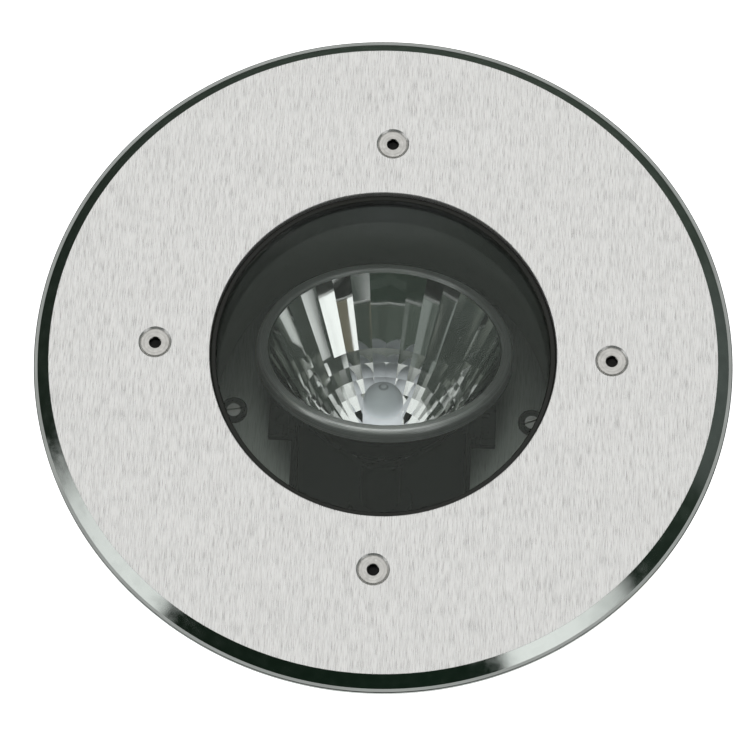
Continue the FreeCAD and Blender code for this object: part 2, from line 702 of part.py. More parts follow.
def facet_radius(depth_below_rim):
    """Radius of the paraboloid at a depth below its rim."""
    vertex = REFLECTOR_R ** 2 / (4 * FOCAL)
    return math.sqrt(4 * FOCAL * (vertex - depth_below_rim))


def facet_ring(radius, height):
    """Corners of one polygon of the faceted bowl."""
    corners = []
    for i in range(FACET_COLUMNS):
        angle = 2 * math.pi * i / FACET_COLUMNS
        corners.append(Vector(radius * math.cos(angle), radius * math.sin(angle), height))
    return corners


def faceted_core(levels):
    """Solid bounded by flat facets between polygons given as (radius, height) levels."""
    rings = [facet_ring(radius, height) for radius, height in levels]
    faces = [Part.Face(Part.makePolygon(rings[0] + rings[0][:1])),
             Part.Face(Part.makePolygon(rings[-1] + rings[-1][:1]))]
    for upper, lower in zip(rings, rings[1:]):
        for i in range(FACET_COLUMNS):
            j = (i + 1) % FACET_COLUMNS
            corners = [upper[i], upper[j], lower[j], lower[i], upper[i]]
            faces.append(Part.Face(Part.makePolygon(corners)))
    solid = Part.Solid(Part.Shell(faces))
    if solid.Volume < 0:
        solid.reverse()
    return solid


def reflector():
    """Faceted bright bowl: 36 columns of flat facets inside, a smooth spun outside, a flat rim."""
    rim = -COLLAR_LIP_T
    levels = [(REFLECTOR_R, rim)]
    for depth in FACET_BREAKS:
        levels.append((facet_radius(depth), rim - depth))
    outer = [(radius + REFLECTOR_T, height) for radius, height in levels]
    end_r, end_z = levels[-1]
    profile = [(0, rim), (COLLAR_SEAT_R - RIM_GAP, rim),
               (COLLAR_SEAT_R - RIM_GAP, rim - REFLECTOR_T),
               (outer[0][0], rim - REFLECTOR_T)] + outer[1:] + [(0, end_z)]
    slope = (levels[0][0] - levels[1][0]) / (levels[0][1] - levels[1][1])
    above = (levels[0][0] + slope * OVER, rim + OVER)
    low_slope = (levels[-2][0] - end_r) / (levels[-2][1] - end_z)
    below = (end_r - low_slope * OVER, end_z - OVER)
    core = faceted_core([above] + levels[1:-1] + [below])
    return hang_head(turned(profile).cut(core))


def cradle():
    """Pressed ring that holds the reflector up in the collar, with two arms that follow the
    bowl and a cross piece under the lamp."""
    ring_top = -COLLAR_LIP_T - REFLECTOR_T
    shoulder = -COLLAR_H - CRADLE_T
    outside = [(COLLAR_SEAT_R, ring_top, 0), (COLLAR_SEAT_R, shoulder, CRADLE_BEND_R),
               (CRADLE_ARM_X, -CRADLE_NECK, CRADLE_BEND_R),
               (CRADLE_ARM_X, -LAMP_SEAT - CRADLE_T, CRADLE_BEND_R)]
    inside = [(COLLAR_SEAT_R - CRADLE_T, ring_top, 0), (COLLAR_SEAT_R - CRADLE_T, shoulder, OVER),
              (CRADLE_ARM_X - CRADLE_T, -CRADLE_NECK, OVER),
              (CRADLE_ARM_X - CRADLE_T, -LAMP_SEAT, CRADLE_BEND_R - CRADLE_T)]
    corners = outside + [(-x, z, r) for x, z, r in reversed(outside)]
    corners += [(-x, z, r) for x, z, r in inside] + list(reversed(inside))
    outline = path([Vector(x, -CRADLE_W / 2, z) for x, z, r in corners], [r for x, z, r in corners])
    arms = Part.Face(outline).extrude(Vector(0, CRADLE_W, 0))
    arms = arms.common(rod(COLLAR_SEAT_R, -LAMP_SEAT - CRADLE_T - OVER, ring_top))
    ring = tube(COLLAR_SEAT_R, COLLAR_SEAT_R - CRADLE_T, -COLLAR_H, ring_top)
    under = -LAMP_SEAT - CRADLE_T - OVER
    lamp_slot = block(2 * CRADLE_SLOT_X, 2 * CRADLE_SLOT_Y, under, -LAMP_SEAT + OVER)
    hole = rod(HOLDER_SCREW_R, under, -LAMP_SEAT + OVER, HOLDER_SCREW_X)
    pivot = lying(PIVOT_R, CRADLE_ARM_X - CRADLE_T - OVER, CRADLE_ARM_X + OVER)
    tools = [lamp_slot] + both_sides(hole) + both_sides(pivot)
    return hang_head(cut_all(join([ring, arms]), tools))


def lying(radius, near, far):
    """Cylinder along X at the height of the pivot, in the upright head."""
    return Part.makeCylinder(radius, far - near, Vector(near, 0, -MOUTH_TO_PIVOT), Vector(1, 0, 0))


def pivot_bolts():
    """Bolts from inside each arm through the friction washer and the ear."""
    inner_x = CRADLE_ARM_X - CRADLE_T
    head = lying(PIVOT_HEAD_R, inner_x - PIVOT_HEAD_T, inner_x)
    shank = lying(PIVOT_R, inner_x - OVER, EAR_X + EAR_T + NUT_T)
    return hang_head(Part.Compound(both_sides(join([head, shank]))))


def pivot_nuts():
    """Self locking nuts outside the ears."""
    seat = EAR_X + EAR_T
    nut = hexagon(NUT_ACROSS, 0, NUT_T)
    nut.rotate(Vector(0, 0, 0), Vector(0, 1, 0), 90)
    nut.translate(Vector(seat, 0, -MOUTH_TO_PIVOT))
    nut = nut.cut(lying(PIVOT_R, seat - OVER, seat + NUT_T + OVER))
    return hang_head(Part.Compound(both_sides(nut)))


def friction_washers():
    """Washers between the arms and the ears that hold the tilt."""
    washer = lying(FRICTION_WASHER_R, CRADLE_ARM_X, EAR_X)
    washer = washer.cut(lying(PIVOT_R, CRADLE_ARM_X - OVER, EAR_X + OVER))
    return hang_head(Part.Compound(both_sides(washer)))


def lamp_tube():
    """Frosted tube with a domed end and a small sealed tip."""
    base_top = -LAMP_SEAT + LAMP_BASE_H
    low = base_top - LAMP_SOCKET
    dome = -LAMP_TIP - LAMP_R
    inner_r = LAMP_R - LAMP_WALL
    outer = rod(LAMP_R, low, dome).fuse(Part.makeSphere(LAMP_R, Vector(0, 0, dome)))
    nub = rod(LAMP_NUB_R, -LAMP_TIP - LAMP_R, -LAMP_TIP + LAMP_NUB_H)
    nub = nub.common(Part.makeSphere(LAMP_R + LAMP_NUB_H, Vector(0, 0, dome)))
    inner = rod(inner_r, low + LAMP_SOCKET, dome).fuse(Part.makeSphere(inner_r, Vector(0, 0, dome)))
    return hang_head(join([outer, nub]).cut(inner.removeSplitter()))


def lamp_base():
    """Ceramic base cemented on the tube."""
    top = -LAMP_SEAT + LAMP_BASE_H
    base = rounded_block(LAMP_BASE_X, LAMP_BASE_Y, LAMP_BASE_Y / 2 - OVER, -LAMP_SEAT, top)
    pin = rod(LAMP_PIN_R, -LAMP_SEAT - OVER, -LAMP_SEAT + LAMP_SOCKET, LAMP_PIN_PITCH / 2)
    tools = [rod(LAMP_R, top - LAMP_SOCKET, top + OVER)] + both_sides(pin)
    return hang_head(cut_all(base, tools))


def lamp_pins():
    """The two contact pins of the lamp."""
    pin = rod(LAMP_PIN_R, -LAMP_SEAT - LAMP_PIN_L, -LAMP_SEAT + LAMP_SOCKET, LAMP_PIN_PITCH / 2)
    return hang_head(Part.Compound(both_sides(pin)))


def arc_tube():
    """Ceramic burner at the focus of the bowl, with a capillary at each end."""
    centre = -ARC_CENTRE
    half = ARC_L / 2
    reach = half + CAPILLARY_L
    burner = turned([(0, centre - reach), (CAPILLARY_R, centre - reach), (CAPILLARY_R, centre - half),
                     (ARC_R, centre - half, OVER), (ARC_R, centre + half, OVER),
                     (CAPILLARY_R, centre + half), (CAPILLARY_R, centre + reach), (0, centre + reach)])
    return hang_head(burner)


def lamp_wires():
    """The short lead under the burner and the long one that comes back from above it."""
    reach = ARC_L / 2 + CAPILLARY_L
    foot = -LAMP_SEAT + LAMP_BASE_H
    top = -ARC_CENTRE + reach
    short = rod(WIRE_R, foot, -ARC_CENTRE - reach)
    bend = top + 2 * WIRE_R
    long = rod(WIRE_R, foot, bend, WIRE_X)
    across = Part.makeCylinder(WIRE_R, WIRE_X, Vector(0, 0, bend), Vector(1, 0, 0))
    drop = rod(WIRE_R, top, bend)
    corner = Part.makeSphere(WIRE_R, Vector(WIRE_X, 0, bend))
    end = Part.makeSphere(WIRE_R, Vector(0, 0, bend))
    return hang_head(Part.Compound([short, join([long, across, drop, corner, end])]))


def lampholder():
    """Ceramic holder with two contact bores and two screw holes."""
    top = -LAMP_SEAT - CRADLE_T
    low = top - HOLDER_H
    body = rounded_block(HOLDER_X, HOLDER_Y, HOLDER_ROUND, low, top)
    entry = rod(LAMP_PIN_R + PIVOT_FIT, low, top + OVER, LAMP_PIN_PITCH / 2)
    bore = rod(CONTACT_R, low - OVER, top - HOLDER_LID, LAMP_PIN_PITCH / 2)
    hole = rod(HOLDER_SCREW_R, low - OVER, top + OVER, HOLDER_SCREW_X)
    tools = both_sides(entry) + both_sides(bore) + both_sides(hole)
    return hang_head(cut_all(body, tools))


def holder_contacts():
    """Spring sockets that grip the lamp pins."""
    high = -LAMP_SEAT - CRADLE_T - HOLDER_LID
    socket = tube(CONTACT_R, LAMP_PIN_R, high - CONTACT_L, high, LAMP_PIN_PITCH / 2)
    return hang_head(Part.Compound(both_sides(socket)))


def lampholder_screws():
    """Pan head screws from the cradle through the lampholder."""
    low = -LAMP_SEAT - CRADLE_T - HOLDER_H - HOLDER_NUT_T
    head = rod(HOLDER_SCREW_HEAD_R, -LAMP_SEAT, -LAMP_SEAT + HOLDER_SCREW_HEAD_T, HOLDER_SCREW_X)
    shank = rod(HOLDER_SCREW_R, low, -LAMP_SEAT + OVER, HOLDER_SCREW_X)
    return hang_head(Part.Compound(both_sides(join([head, shank]))))


def lampholder_nuts():
    """Nuts under the lampholder."""
    high = -LAMP_SEAT - CRADLE_T - HOLDER_H
    nut = hexagon(HOLDER_NUT_ACROSS, high - HOLDER_NUT_T, high, HOLDER_SCREW_X)
    nut = nut.cut(rod(HOLDER_SCREW_R, high - HOLDER_NUT_T - OVER, high + OVER, HOLDER_SCREW_X))
    return hang_head(Part.Compound(both_sides(nut)))


# ---- control gear ----
def gear_tray():
    """Sheet disc on four posts."""
    disc = rod(GEAR_TRAY_R, GEAR_TRAY_Z, GEAR_Z)
    hole = rod(GEAR_SCREW_R, GEAR_TRAY_Z - OVER, GEAR_Z + OVER, GEAR_POST_CIRCLE_R)
    foot_hole = rod(GEAR_SCREW_R, GEAR_TRAY_Z - OVER, GEAR_Z + OVER, BALLAST_SCREW_X)
    return cut_all(disc, around(hole, GEAR_POSTS, 180.0 / GEAR_POSTS) + both_sides(foot_hole))


def gear_tray_screws():
    """Screws that hold the tray on its posts."""
    head = rod(GEAR_SCREW_HEAD_R, GEAR_Z, GEAR_Z + GEAR_SCREW_HEAD_T, GEAR_POST_CIRCLE_R)
    shank = rod(GEAR_SCREW_R, GEAR_Z - GEAR_SCREW_L, GEAR_Z + OVER, GEAR_POST_CIRCLE_R)
    return Part.Compound(around(join([head, shank]), GEAR_POSTS, 180.0 / GEAR_POSTS))


def ballast():
    """Electronic ballast in a case with rounded upright edges and a foot at each end."""
    case = rounded_block(BALLAST_X, BALLAST_Y, BALLAST_ROUND, GEAR_Z, GEAR_Z + BALLAST_H)
    foot = rounded_block(BALLAST_FOOT_X, BALLAST_FOOT_Y, BALLAST_ROUND, GEAR_Z, GEAR_Z + BALLAST_FOOT_T)
    hole = rod(GEAR_SCREW_R, GEAR_Z - OVER, GEAR_Z + BALLAST_FOOT_T + OVER, BALLAST_SCREW_X)
    return cut_all(join([case, foot]), both_sides(hole))


def ballast_screws():
    """Screws through the feet of the ballast into the tray."""
    seat = GEAR_Z + BALLAST_FOOT_T
    head = rod(GEAR_SCREW_HEAD_R, seat, seat + GEAR_SCREW_HEAD_T, BALLAST_SCREW_X)
    shank = rod(GEAR_SCREW_R, GEAR_TRAY_Z - OVER, seat + OVER, BALLAST_SCREW_X)
    return Part.Compound(both_sides(join([head, shank])))


def terminal_ways():
    """X places of the ways of the terminal block."""
    first = -TERMINAL_PITCH * (TERMINAL_WAYS - 1) / 2
    return [first + TERMINAL_PITCH * i for i in range(TERMINAL_WAYS)]


def terminal_block():
    """Stepped block with a wire bore and a clamping screw hole in each way."""
    place = TERMINAL_PLACE_Y
    top = GEAR_Z + TERMINAL_H
    body = block(TERMINAL_X, TERMINAL_Y, GEAR_Z, top - TERMINAL_STEP, 0, place)
    ridge = block(TERMINAL_X, TERMINAL_Y / 2, top - TERMINAL_STEP - OVER, top, 0, place)
    tools = []
    for x in terminal_ways():
        wire_z = GEAR_Z + TERMINAL_H / 2 - OVER
        start = Vector(x, place - TERMINAL_Y / 2 - OVER, wire_z)
        tools.append(Part.makeCylinder(TERMINAL_WIRE_R, TERMINAL_Y + 2 * OVER, start, Vector(0, 1, 0)))
        tools.append(rod(TERMINAL_SCREW_R, wire_z, top + OVER, x, place))
    return cut_all(join([body, ridge]), tools)


def terminal_screws():
    """Clamping screws of the terminal block."""
    top = GEAR_Z + TERMINAL_H
    screws = []
    for x in terminal_ways():
        slot = block(2 * TERMINAL_SCREW_R + OVER, SLOT_W / 2, top - SLOT_DEPTH, top + OVER, x,
                     TERMINAL_PLACE_Y)
        screw = rod(TERMINAL_SCREW_R, top - TERMINAL_SCREW_H, top, x, TERMINAL_PLACE_Y)
        screws.append(screw.cut(slot))
    return Part.Compound(screws)


def earth_screw():
    """Hexagon head earthing screw in its post."""
    seat = EARTH_POST_TOP + EARTH_WASHER_T
    head = hexagon(EARTH_HEAD_ACROSS, seat, seat + EARTH_HEAD_T, 0, EARTH_PLACE_Y)
    shank = rod(EARTH_SCREW_R, seat - EARTH_SCREW_L, seat + OVER, 0, EARTH_PLACE_Y)
    return join([head, shank])


def earth_washer():
    """Washer under the earthing screw."""
    return tube(EARTH_WASHER_R, EARTH_SCREW_R, EARTH_POST_TOP, EARTH_POST_TOP + EARTH_WASHER_T,
                0, EARTH_PLACE_Y)


# ---- cable glands, drawn along +Z from the middle and then turned outward ----
def at_glands(shape):
    """A copy of a shape at each gland."""
    return Part.Compound([outward(shape.copy(), angle, GLAND_Z) for angle in GLAND_ANGLES])


def gland_bodies():
    """Threaded gland body: tail through the wall, hexagon and neck outside."""
    seat = GLAND_FACE + GLAND_WASHER_T
    tail = rod(GLAND_R, seat - GLAND_TAIL_L, seat + OVER)
    flange = hexagon(GLAND_ACROSS, seat, seat + GLAND_HEX_T)
    neck = rod(GLAND_NECK_R, seat + GLAND_HEX_T - OVER, seat + GLAND_HEX_T + GLAND_NECK_L)
    bore = rod(GLAND_BORE_R, seat - GLAND_TAIL_L - OVER, seat + GLAND_HEX_T + GLAND_NECK_L + OVER)
    return at_glands(join([tail, flange, neck]).cut(bore))


def gland_washers():
    """Sealing washers between the gland and the boss."""
    ring = tube(GLAND_BOSS_R - OVER, GLAND_R, GLAND_FACE, GLAND_FACE + GLAND_WASHER_T)
    return at_glands(ring)


def gland_lock_nuts():
    """Lock nuts inside the housing."""
    nut = hexagon(GLAND_ACROSS, GLAND_BACK - GLAND_NUT_T, GLAND_BACK)
    nut = nut.cut(rod(GLAND_R, GLAND_BACK - GLAND_NUT_T - OVER, GLAND_BACK + OVER))
    return at_glands(nut)


def gland_seals():
    """Rubber sleeves that close on the cable."""
    start = GLAND_FACE + GLAND_WASHER_T + GLAND_HEX_T + GLAND_NECK_L - SEAL_L
    return at_glands(tube(GLAND_BORE_R, CABLE_R, start, start + SEAL_L))


def gland_dome_nuts():
    """Dome nuts with the cable opening."""
    low = GLAND_FACE + GLAND_WASHER_T + GLAND_HEX_T
    high = low + DOME_L
    body = hexagon(GLAND_ACROSS - 2 * OVER, low, high)
    side = GLAND_ACROSS / 2 + OVER
    dome = turned([(0, low), (side, low), (side, high - DOME_ROUND * 2),
                   (GLAND_R - OVER, high, DOME_ROUND), (0, high)])
    tools = [rod(GLAND_NECK_R, low - OVER, low + GLAND_NECK_L),
             rod(DOME_OPENING_R, low, high + OVER)]
    return at_glands(cut_all(body.common(dome), tools))


NODES = {
    "housing": housing, "housing_fins": housing_fins, "housing_ring": housing_ring,
    "flange_ring": flange_ring, "flange_screws": flange_screws,
    "cover_plate": cover_plate, "cover_screws": cover_screws, "screw_inserts": screw_inserts,
    "glass_pane": glass_pane, "glass_gasket": glass_gasket, "well_sleeve": well_sleeve,
    "tray": tray, "turntable_ring": turntable_ring, "pan_clamp_ring": pan_clamp_ring,
    "pivot_brackets": pivot_brackets, "pan_screws": pan_screws, "pan_nuts": pan_nuts,
    "collar": collar, "reflector": reflector, "cradle": cradle, "pivot_bolts": pivot_bolts,
    "pivot_nuts": pivot_nuts, "friction_washers": friction_washers, "lamp_tube": lamp_tube,
    "lamp_base": lamp_base, "lamp_pins": lamp_pins, "arc_tube": arc_tube, "lamp_wires": lamp_wires,
    "lampholder": lampholder, "holder_contacts": holder_contacts,
    "lampholder_screws": lampholder_screws, "lampholder_nuts": lampholder_nuts,
    "gear_tray": gear_tray, "gear_tray_screws": gear_tray_screws, "ballast": ballast,
    "ballast_screws": ballast_screws, "terminal_block": terminal_block,
    "terminal_screws": terminal_screws, "earth_screw": earth_screw, "earth_washer": earth_washer,
    "gland_bodies": gland_bodies, "gland_washers": gland_washers, "gland_seals": gland_seals,
    "gland_lock_nuts": gland_lock_nuts, "gland_dome_nuts": gland_dome_nuts,
}


def main():
    """Builds every piece and writes it to its own file."""
    os.makedirs(PARTS, exist_ok=True)
    for name, build in NODES.items():
        shape = build()
        shape.exportStep(os.path.join(PARTS, name + ".step"))
        print(name, len(shape.Solids), round(shape.Volume, 1), shape.isValid())


main()
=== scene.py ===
"""In ground well light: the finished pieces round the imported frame.

Lengths are in metres in the frame's own axes: +Z up out of the ground, the lamp head leaning
towards +Y. Outlines of turned pieces are (distance from the axis, height) or, with a third
number, the radius that the corner is rounded to."""

import json
import math

import bmesh
import bpy
from bpy.props import FloatProperty, FloatVectorProperty, IntProperty, PointerProperty
from mathutils import Matrix, Vector


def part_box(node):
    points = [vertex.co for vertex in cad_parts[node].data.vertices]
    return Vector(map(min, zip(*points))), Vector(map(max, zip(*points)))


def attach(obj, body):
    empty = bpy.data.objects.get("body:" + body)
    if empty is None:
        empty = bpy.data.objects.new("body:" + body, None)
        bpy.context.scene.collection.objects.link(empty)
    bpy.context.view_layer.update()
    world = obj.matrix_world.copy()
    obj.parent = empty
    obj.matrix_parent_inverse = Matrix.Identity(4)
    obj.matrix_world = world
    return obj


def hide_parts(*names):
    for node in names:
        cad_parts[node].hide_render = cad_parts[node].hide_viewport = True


bl_info = {
    "name": "In ground well light",
    "version": (1, 0, 0),
    "blender": (4, 5, 0),
    "location": "3D View > Sidebar > Well light",
    "description": "Builds the finished pieces of an in ground well light round its frame",
    "category": "Add Mesh",
}

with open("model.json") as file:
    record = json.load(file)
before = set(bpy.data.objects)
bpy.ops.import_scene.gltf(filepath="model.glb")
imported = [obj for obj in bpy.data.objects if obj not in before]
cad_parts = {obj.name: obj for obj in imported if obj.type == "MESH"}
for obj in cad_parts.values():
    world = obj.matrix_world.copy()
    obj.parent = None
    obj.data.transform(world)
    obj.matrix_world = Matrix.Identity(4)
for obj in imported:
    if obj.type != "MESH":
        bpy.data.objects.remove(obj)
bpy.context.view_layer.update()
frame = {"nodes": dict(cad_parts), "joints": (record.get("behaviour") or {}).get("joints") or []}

MM = 0.001
ARC_STEPS = 6
SHARP = math.radians(32)
COVER_LOW, COVER_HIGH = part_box("cover_plate")
FLANGE_LOW, FLANGE_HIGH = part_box("flange_ring")
PANE_LOW, PANE_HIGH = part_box("glass_pane")
GASKET_LOW, GASKET_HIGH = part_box("glass_gasket")
SLEEVE_LOW, SLEEVE_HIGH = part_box("well_sleeve")
PAN_SCREWS_LOW, PAN_SCREWS_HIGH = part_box("pan_screws")
TOP = COVER_HIGH.z
TILT_JOINT = next(joint for joint in frame["joints"] if joint["name"] == "lamp_tilt")
PIVOT = Vector(TILT_JOINT["pos_m"])
REST_TILT = math.radians(27)

FACET_BREAKS = (29.2, 34.4, 39.6, 44.5, 49.2, 54.0)  # mm below the bowl's rim
FACET_STEPS = 4
FACET_EDGE = math.radians(3)
TUBE_STEPS = 24
TUBE_SEAL_R = 1.6 * MM
SCREW_STOPS = (10.0, 25.0, -8.0, 4.0)  # degrees, one for each cover screw
# radii of painted shade round the tray's slotted screws: a dark disc on the tray, a dark disc on the ring,
# and the screws' own rims darkened outside their faces
TRAY_SHADOW_R = 4.6 * MM
RING_SHADOW_R = 6.5 * MM
SCREW_UNSHADED_R = 2.7 * MM

# lines of a brushed face for each metre, on X, Y and Z
BRUSH_FINE = (3400.0, 180.0, 3400.0)
BRUSH_BROAD = (900.0, 60.0, 900.0)
SHADOW = (0.012, 0.013, 0.011, 1.0)
BLACK = (0, 0, 0, 1)

# the room that reflections see
ROOM_NEAR = (0.010, 0.020, 0.013, 1.0)
ROOM_FAR = (0.056, 0.070, 0.058, 1.0)
ROOM_LEFT = (0.010, 0.016, 0.011, 1.0)
ROOM_HIGH = (0.030, 0.036, 0.031, 1.0)
# noise level from which a thing shows overhead, and its colour
ROOM_THINGS = ((0.55, (0.12, 0.13, 0.115, 1.0)), (0.66, (0.75, 0.76, 0.75, 1.0)))
OVERHEAD = Vector((0.0, math.cos(math.radians(68)), math.sin(math.radians(68))))
OVERHEAD_RADIUS = 23
LAMP_ELEVATION = math.radians(70)
# azimuth from +X towards +Y, elevation, half width and half height in degrees, brightness, tint
PANELS = (
    (-43, 24, 16, 8, 1.0, (1.0, 1.0, 1.0)),
    (-161, 18, 21, 9, 0.9, (1.0, 1.0, 1.0)),
    (20, 3, 22, 7, 0.09, (0.88, 1.0, 0.94)),
    (171, 51, 14, 11, 1.05, (1.0, 1.0, 1.0)),
    (26, 47, 14, 9, 0.19, (0.92, 1.0, 0.95)),
    (141, 38, 7, 8, 0.13, (1.0, 0.90, 0.66)),
    (-12, 59, 9, 3, 0.5, (1.0, 1.0, 1.0)),
    (-140, 62, 10, 4, 0.6, (1.0, 1.0, 1.0)),
)


# ---- sizes, colours and stage settings ----
def length(name, description, default):
    """A size in metres."""
    return FloatProperty(name=name, description=description, default=default, min=0.0,
                         precision=5, unit="LENGTH")


def colour(name, description, default):
    """A surface colour."""
    return FloatVectorProperty(name=name, description=description, default=default,
                               size=3, min=0.0, max=1.0, subtype="COLOR")


def turn(name, description, degrees):
    """An angle, given in degrees."""
    return FloatProperty(name=name, description=description, default=math.radians(degrees),
                         subtype="ANGLE")


def amount(name, description, default):
    """A plain number."""
    return FloatProperty(name=name, description=description, default=default, min=0.0)


class WELL_PG_sizes(bpy.types.PropertyGroup):
    """Sizes of the finished pieces"""
    sides: IntProperty(name="Sides", description="Flats round a large turned piece",
                       default=288, min=48, max=720)
    bevel_width: length("Bevel width", "Width of the polished bevel, seen from above", 0.0046)
    rim_reach: length("Rim reach", "How far the finished rim reaches over the lip", 0.0006)
    opening_r: length("Opening radius", "Light opening of the cover", 0.0669)
    edge: length("Edge", "Broken edge of machined pieces", 0.00015)
    flange_inner_r: length("Flange bore", "Inner radius of the flange ring", 0.0793)
    flange_step_r: length("Flange step", "Radius of the step under the flange ring", 0.112)
    flange_edge: length("Flange edge", "Round of the flange's rim and height of its step", 0.0004)
    screw_circle_r: length("Screw circle", "Radius of the cover's screw circle", 0.0881)
    screw_head_r: length("Screw head", "Radius of a cover screw's head", 0.0055)
    screw_recess: length("Screw recess", "How far the heads lie below the face", 0.0005)
    screw_mouth_r: length("Countersink", "Radius of the countersink at the face", 0.0064)
    screw_hole_r: length("Screw hole", "Radius of the hole under the countersink", 0.0033)
    screw_r: length("Screw shank", "Radius of a cover screw's shank", 0.003)
    screw_length: length("Screw length", "Length of a cover screw", 0.020)
    socket_across: length("Socket", "Hexagon socket across its flats", 0.004)
    socket_depth: length("Socket depth", "Depth of the hexagon socket", 0.0023)
    bead_inner_r: length("Bead", "Free edge of the gasket in the opening", 0.0645)
    bead_outer_r: length("Bead outside", "Outside of the bead, just inside the cover", 0.0666)
    bead_drop: length("Bead drop", "How far the bead lies below the face", 0.0024)
    gasket_low_r: length("Low lip", "Inner edge of the lip under the pane", 0.0676)
    pane_edge: length("Pane edge", "Ground edge of the pane", 0.001)
    sleeve_r: length("Sleeve bore", "Bore of the well sleeve", 0.068)
    sleeve_t: length("Sleeve wall", "Wall of the well sleeve", 0.0015)
    sleeve_lip_r: length("Sleeve lip", "Bore of the lip that carries the turntable", 0.0645)
    mouth_to_pivot: length("Mouth to pivot", "From the lamp mouth down to its pivot", 0.0406)
    collar_r: length("Collar", "Outer radius of the collar", 0.0512)
    collar_bore_r: length("Collar bore", "Bore of the collar's lip", 0.0466)
    collar_h: length("Collar height", "Height of the collar", 0.0066)
    collar_lip_t: length("Collar lip", "Thickness of the collar's lip", 0.0012)
    collar_seat_r: length("Collar seat", "Bore below the collar's lip", 0.049)
    reflector_r: length("Bowl", "Inner radius of the reflector's rim", 0.046)
    reflector_t: length("Bowl wall", "Wall of the reflector", 0.0012)
    focal: length("Focal length", "Focal length of the reflector's parabola", 0.009)
    facet_columns: IntProperty(name="Facet columns", description="Facets round the bowl",
                               default=36, min=8, max=90)
    facet_bulge: length("Facet bulge", "How far a facet stands proud in its middle", 0.00002)
    tube_r: length("Tube", "Outer radius of the lamp tube", 0.0081)
    tube_wall: length("Tube wall", "Wall of the lamp tube", 0.001)
    tube_tip: length("Tube tip", "Tip of the tube below the mouth", 0.0225)
    tube_seat: length("Tube seat", "Lower end of the lamp tube below the mouth", 0.091)


class WELL_PG_colours(bpy.types.PropertyGroup):
    """Colours of the finished pieces"""
    cover: colour("Cover", "Brushed face of the cover", (0.868, 0.865, 0.85))
    bevel: colour("Bevel", "Polished bevel of the cover", (0.62, 0.66, 0.63))
    flange: colour("Flange", "Satin flange ring", (0.38, 0.40, 0.385))
    screw: colour("Screws", "Stainless screws", (0.70, 0.69, 0.66))
    dull: colour("Dull screws", "Slotted screws of the tray", (0.38, 0.39, 0.37))
    silicone: colour("Silicone", "Gasket, gland seals and washers", (0.017, 0.018, 0.015))
    well: colour("Well", "Dark coat of the well", (0.050, 0.058, 0.050))
    tray: colour("Tray", "Dark brushed tray", (0.16, 0.175, 0.16))
    black: colour("Black finish", "Blackened steel and dark holder", (0.012, 0.013, 0.012))
    turned: colour("Turned metal", "Collar and turntable rings", (0.85, 0.86, 0.84))
    mirror: colour("Mirror", "Inside of the reflector", (0.90, 0.91, 0.90))
    tube: colour("Lamp tube", "Frosted lamp tube", (0.88, 0.91, 0.95))
    coat: colour("Powder coat", "Coat of the housing", (0.040, 0.042, 0.042))
    zinc: colour("Zinc", "Plated sheet and fasteners", (0.58, 0.60, 0.60))
    ceramic: colour("Ceramic", "Arc tube of the lamp", (0.82, 0.81, 0.76))
    brass: colour("Brass", "Bushes and contacts", (0.72, 0.56, 0.30))
    nickel: colour("Nickel", "Plated cable glands", (0.62, 0.60, 0.55))
    case: colour("Case", "Moulded case of the control gear", (0.020, 0.021, 0.020))


class WELL_PG_stage(bpy.types.PropertyGroup):
    """Camera, floor and light"""
    distance: length("Distance", "Camera to the middle of the cover", 1.307)
    elevation: turn("Elevation", "Camera above the horizon", 68.49)
    azimuth: turn("Azimuth", "Camera round the object", 2.0)
    roll: turn("Roll", "Camera about its own axis", 0.19)
    lens: amount("Lens", "Focal length in millimetres for a sensor of 36 millimetres", 162.84)
    aim_right: turn("Aim right", "Middle of the cover left of the view's middle", 0.135)
    aim_up: turn("Aim up", "Middle of the cover above the view's middle", 0.4008)
    floor_size: length("Floor", "Side of the floor", 12.0)
    floor: colour("Floor colour", "Plain pale floor", (0.92, 0.92, 0.92))
    paper_r: length("Paper", "How far out polished metal mirrors the floor", 0.30)
    floor_glow: amount("Floor glow", "How strongly the floor glows", 1.0)
    overhead: amount("Overhead", "Brightness of the white overhead", 1.0)
    backdrop: amount("Backdrop", "Brightness of the plain backdrop", 1.0)
    lamp: amount("Soft lamp", "Soft light from the camera's side", 1.3)
    panels: amount("Side panels", "Brightness of the pale panels round the room", 1.2)


# ---- outlines and meshes ----
def rounded_outline(corners):
    """Points of a closed outline, with an arc at each corner that gives a radius."""
    points = []
    for i, corner in enumerate(corners):
        here = Vector(corner[:2])
        if len(corner) < 3:
            points.append(here)
            continue
        before = (Vector(corners[i - 1][:2]) - here).normalized()
        after = (Vector(corners[(i + 1) % len(corners)][:2]) - here).normalized()
        half = before.angle(after) / 2
        reach = corner[2] / math.tan(half)
        middle = here + (before + after).normalized() * (corner[2] / math.sin(half))
        first = here + before * reach - middle
        last = here + after * reach - middle
        for step in range(ARC_STEPS + 1):
            points.append(middle + first.lerp(last, step / ARC_STEPS).normalized() * corner[2])
    return points


def turned(corners, sides):
    """Closed mesh turned about Z from a closed outline."""
    shape = bmesh.new()
    rings = []
    for point in rounded_outline(corners):
        if point.x < 1e-7:
            rings.append([shape.verts.new((0, 0, point.y))])
            continue
        ring = []
        for side in range(sides):
            angle = 2 * math.pi * side / sides
            ring.append(shape.verts.new((point.x * math.cos(angle), point.x * math.sin(angle), point.y)))
        rings.append(ring)
    for near, far in zip(rings, rings[1:] + rings[:1]):
        if len(near) == 1 and len(far) == 1:
            continue
        for side in range(sides):
            after = (side + 1) % sides
            around = [near[side % len(near)], near[after % len(near)],
                      far[after % len(far)], far[side % len(far)]]
            shape.faces.new(list(dict.fromkeys(around)))
    bmesh.ops.recalc_face_normals(shape, faces=shape.faces)
    return shape


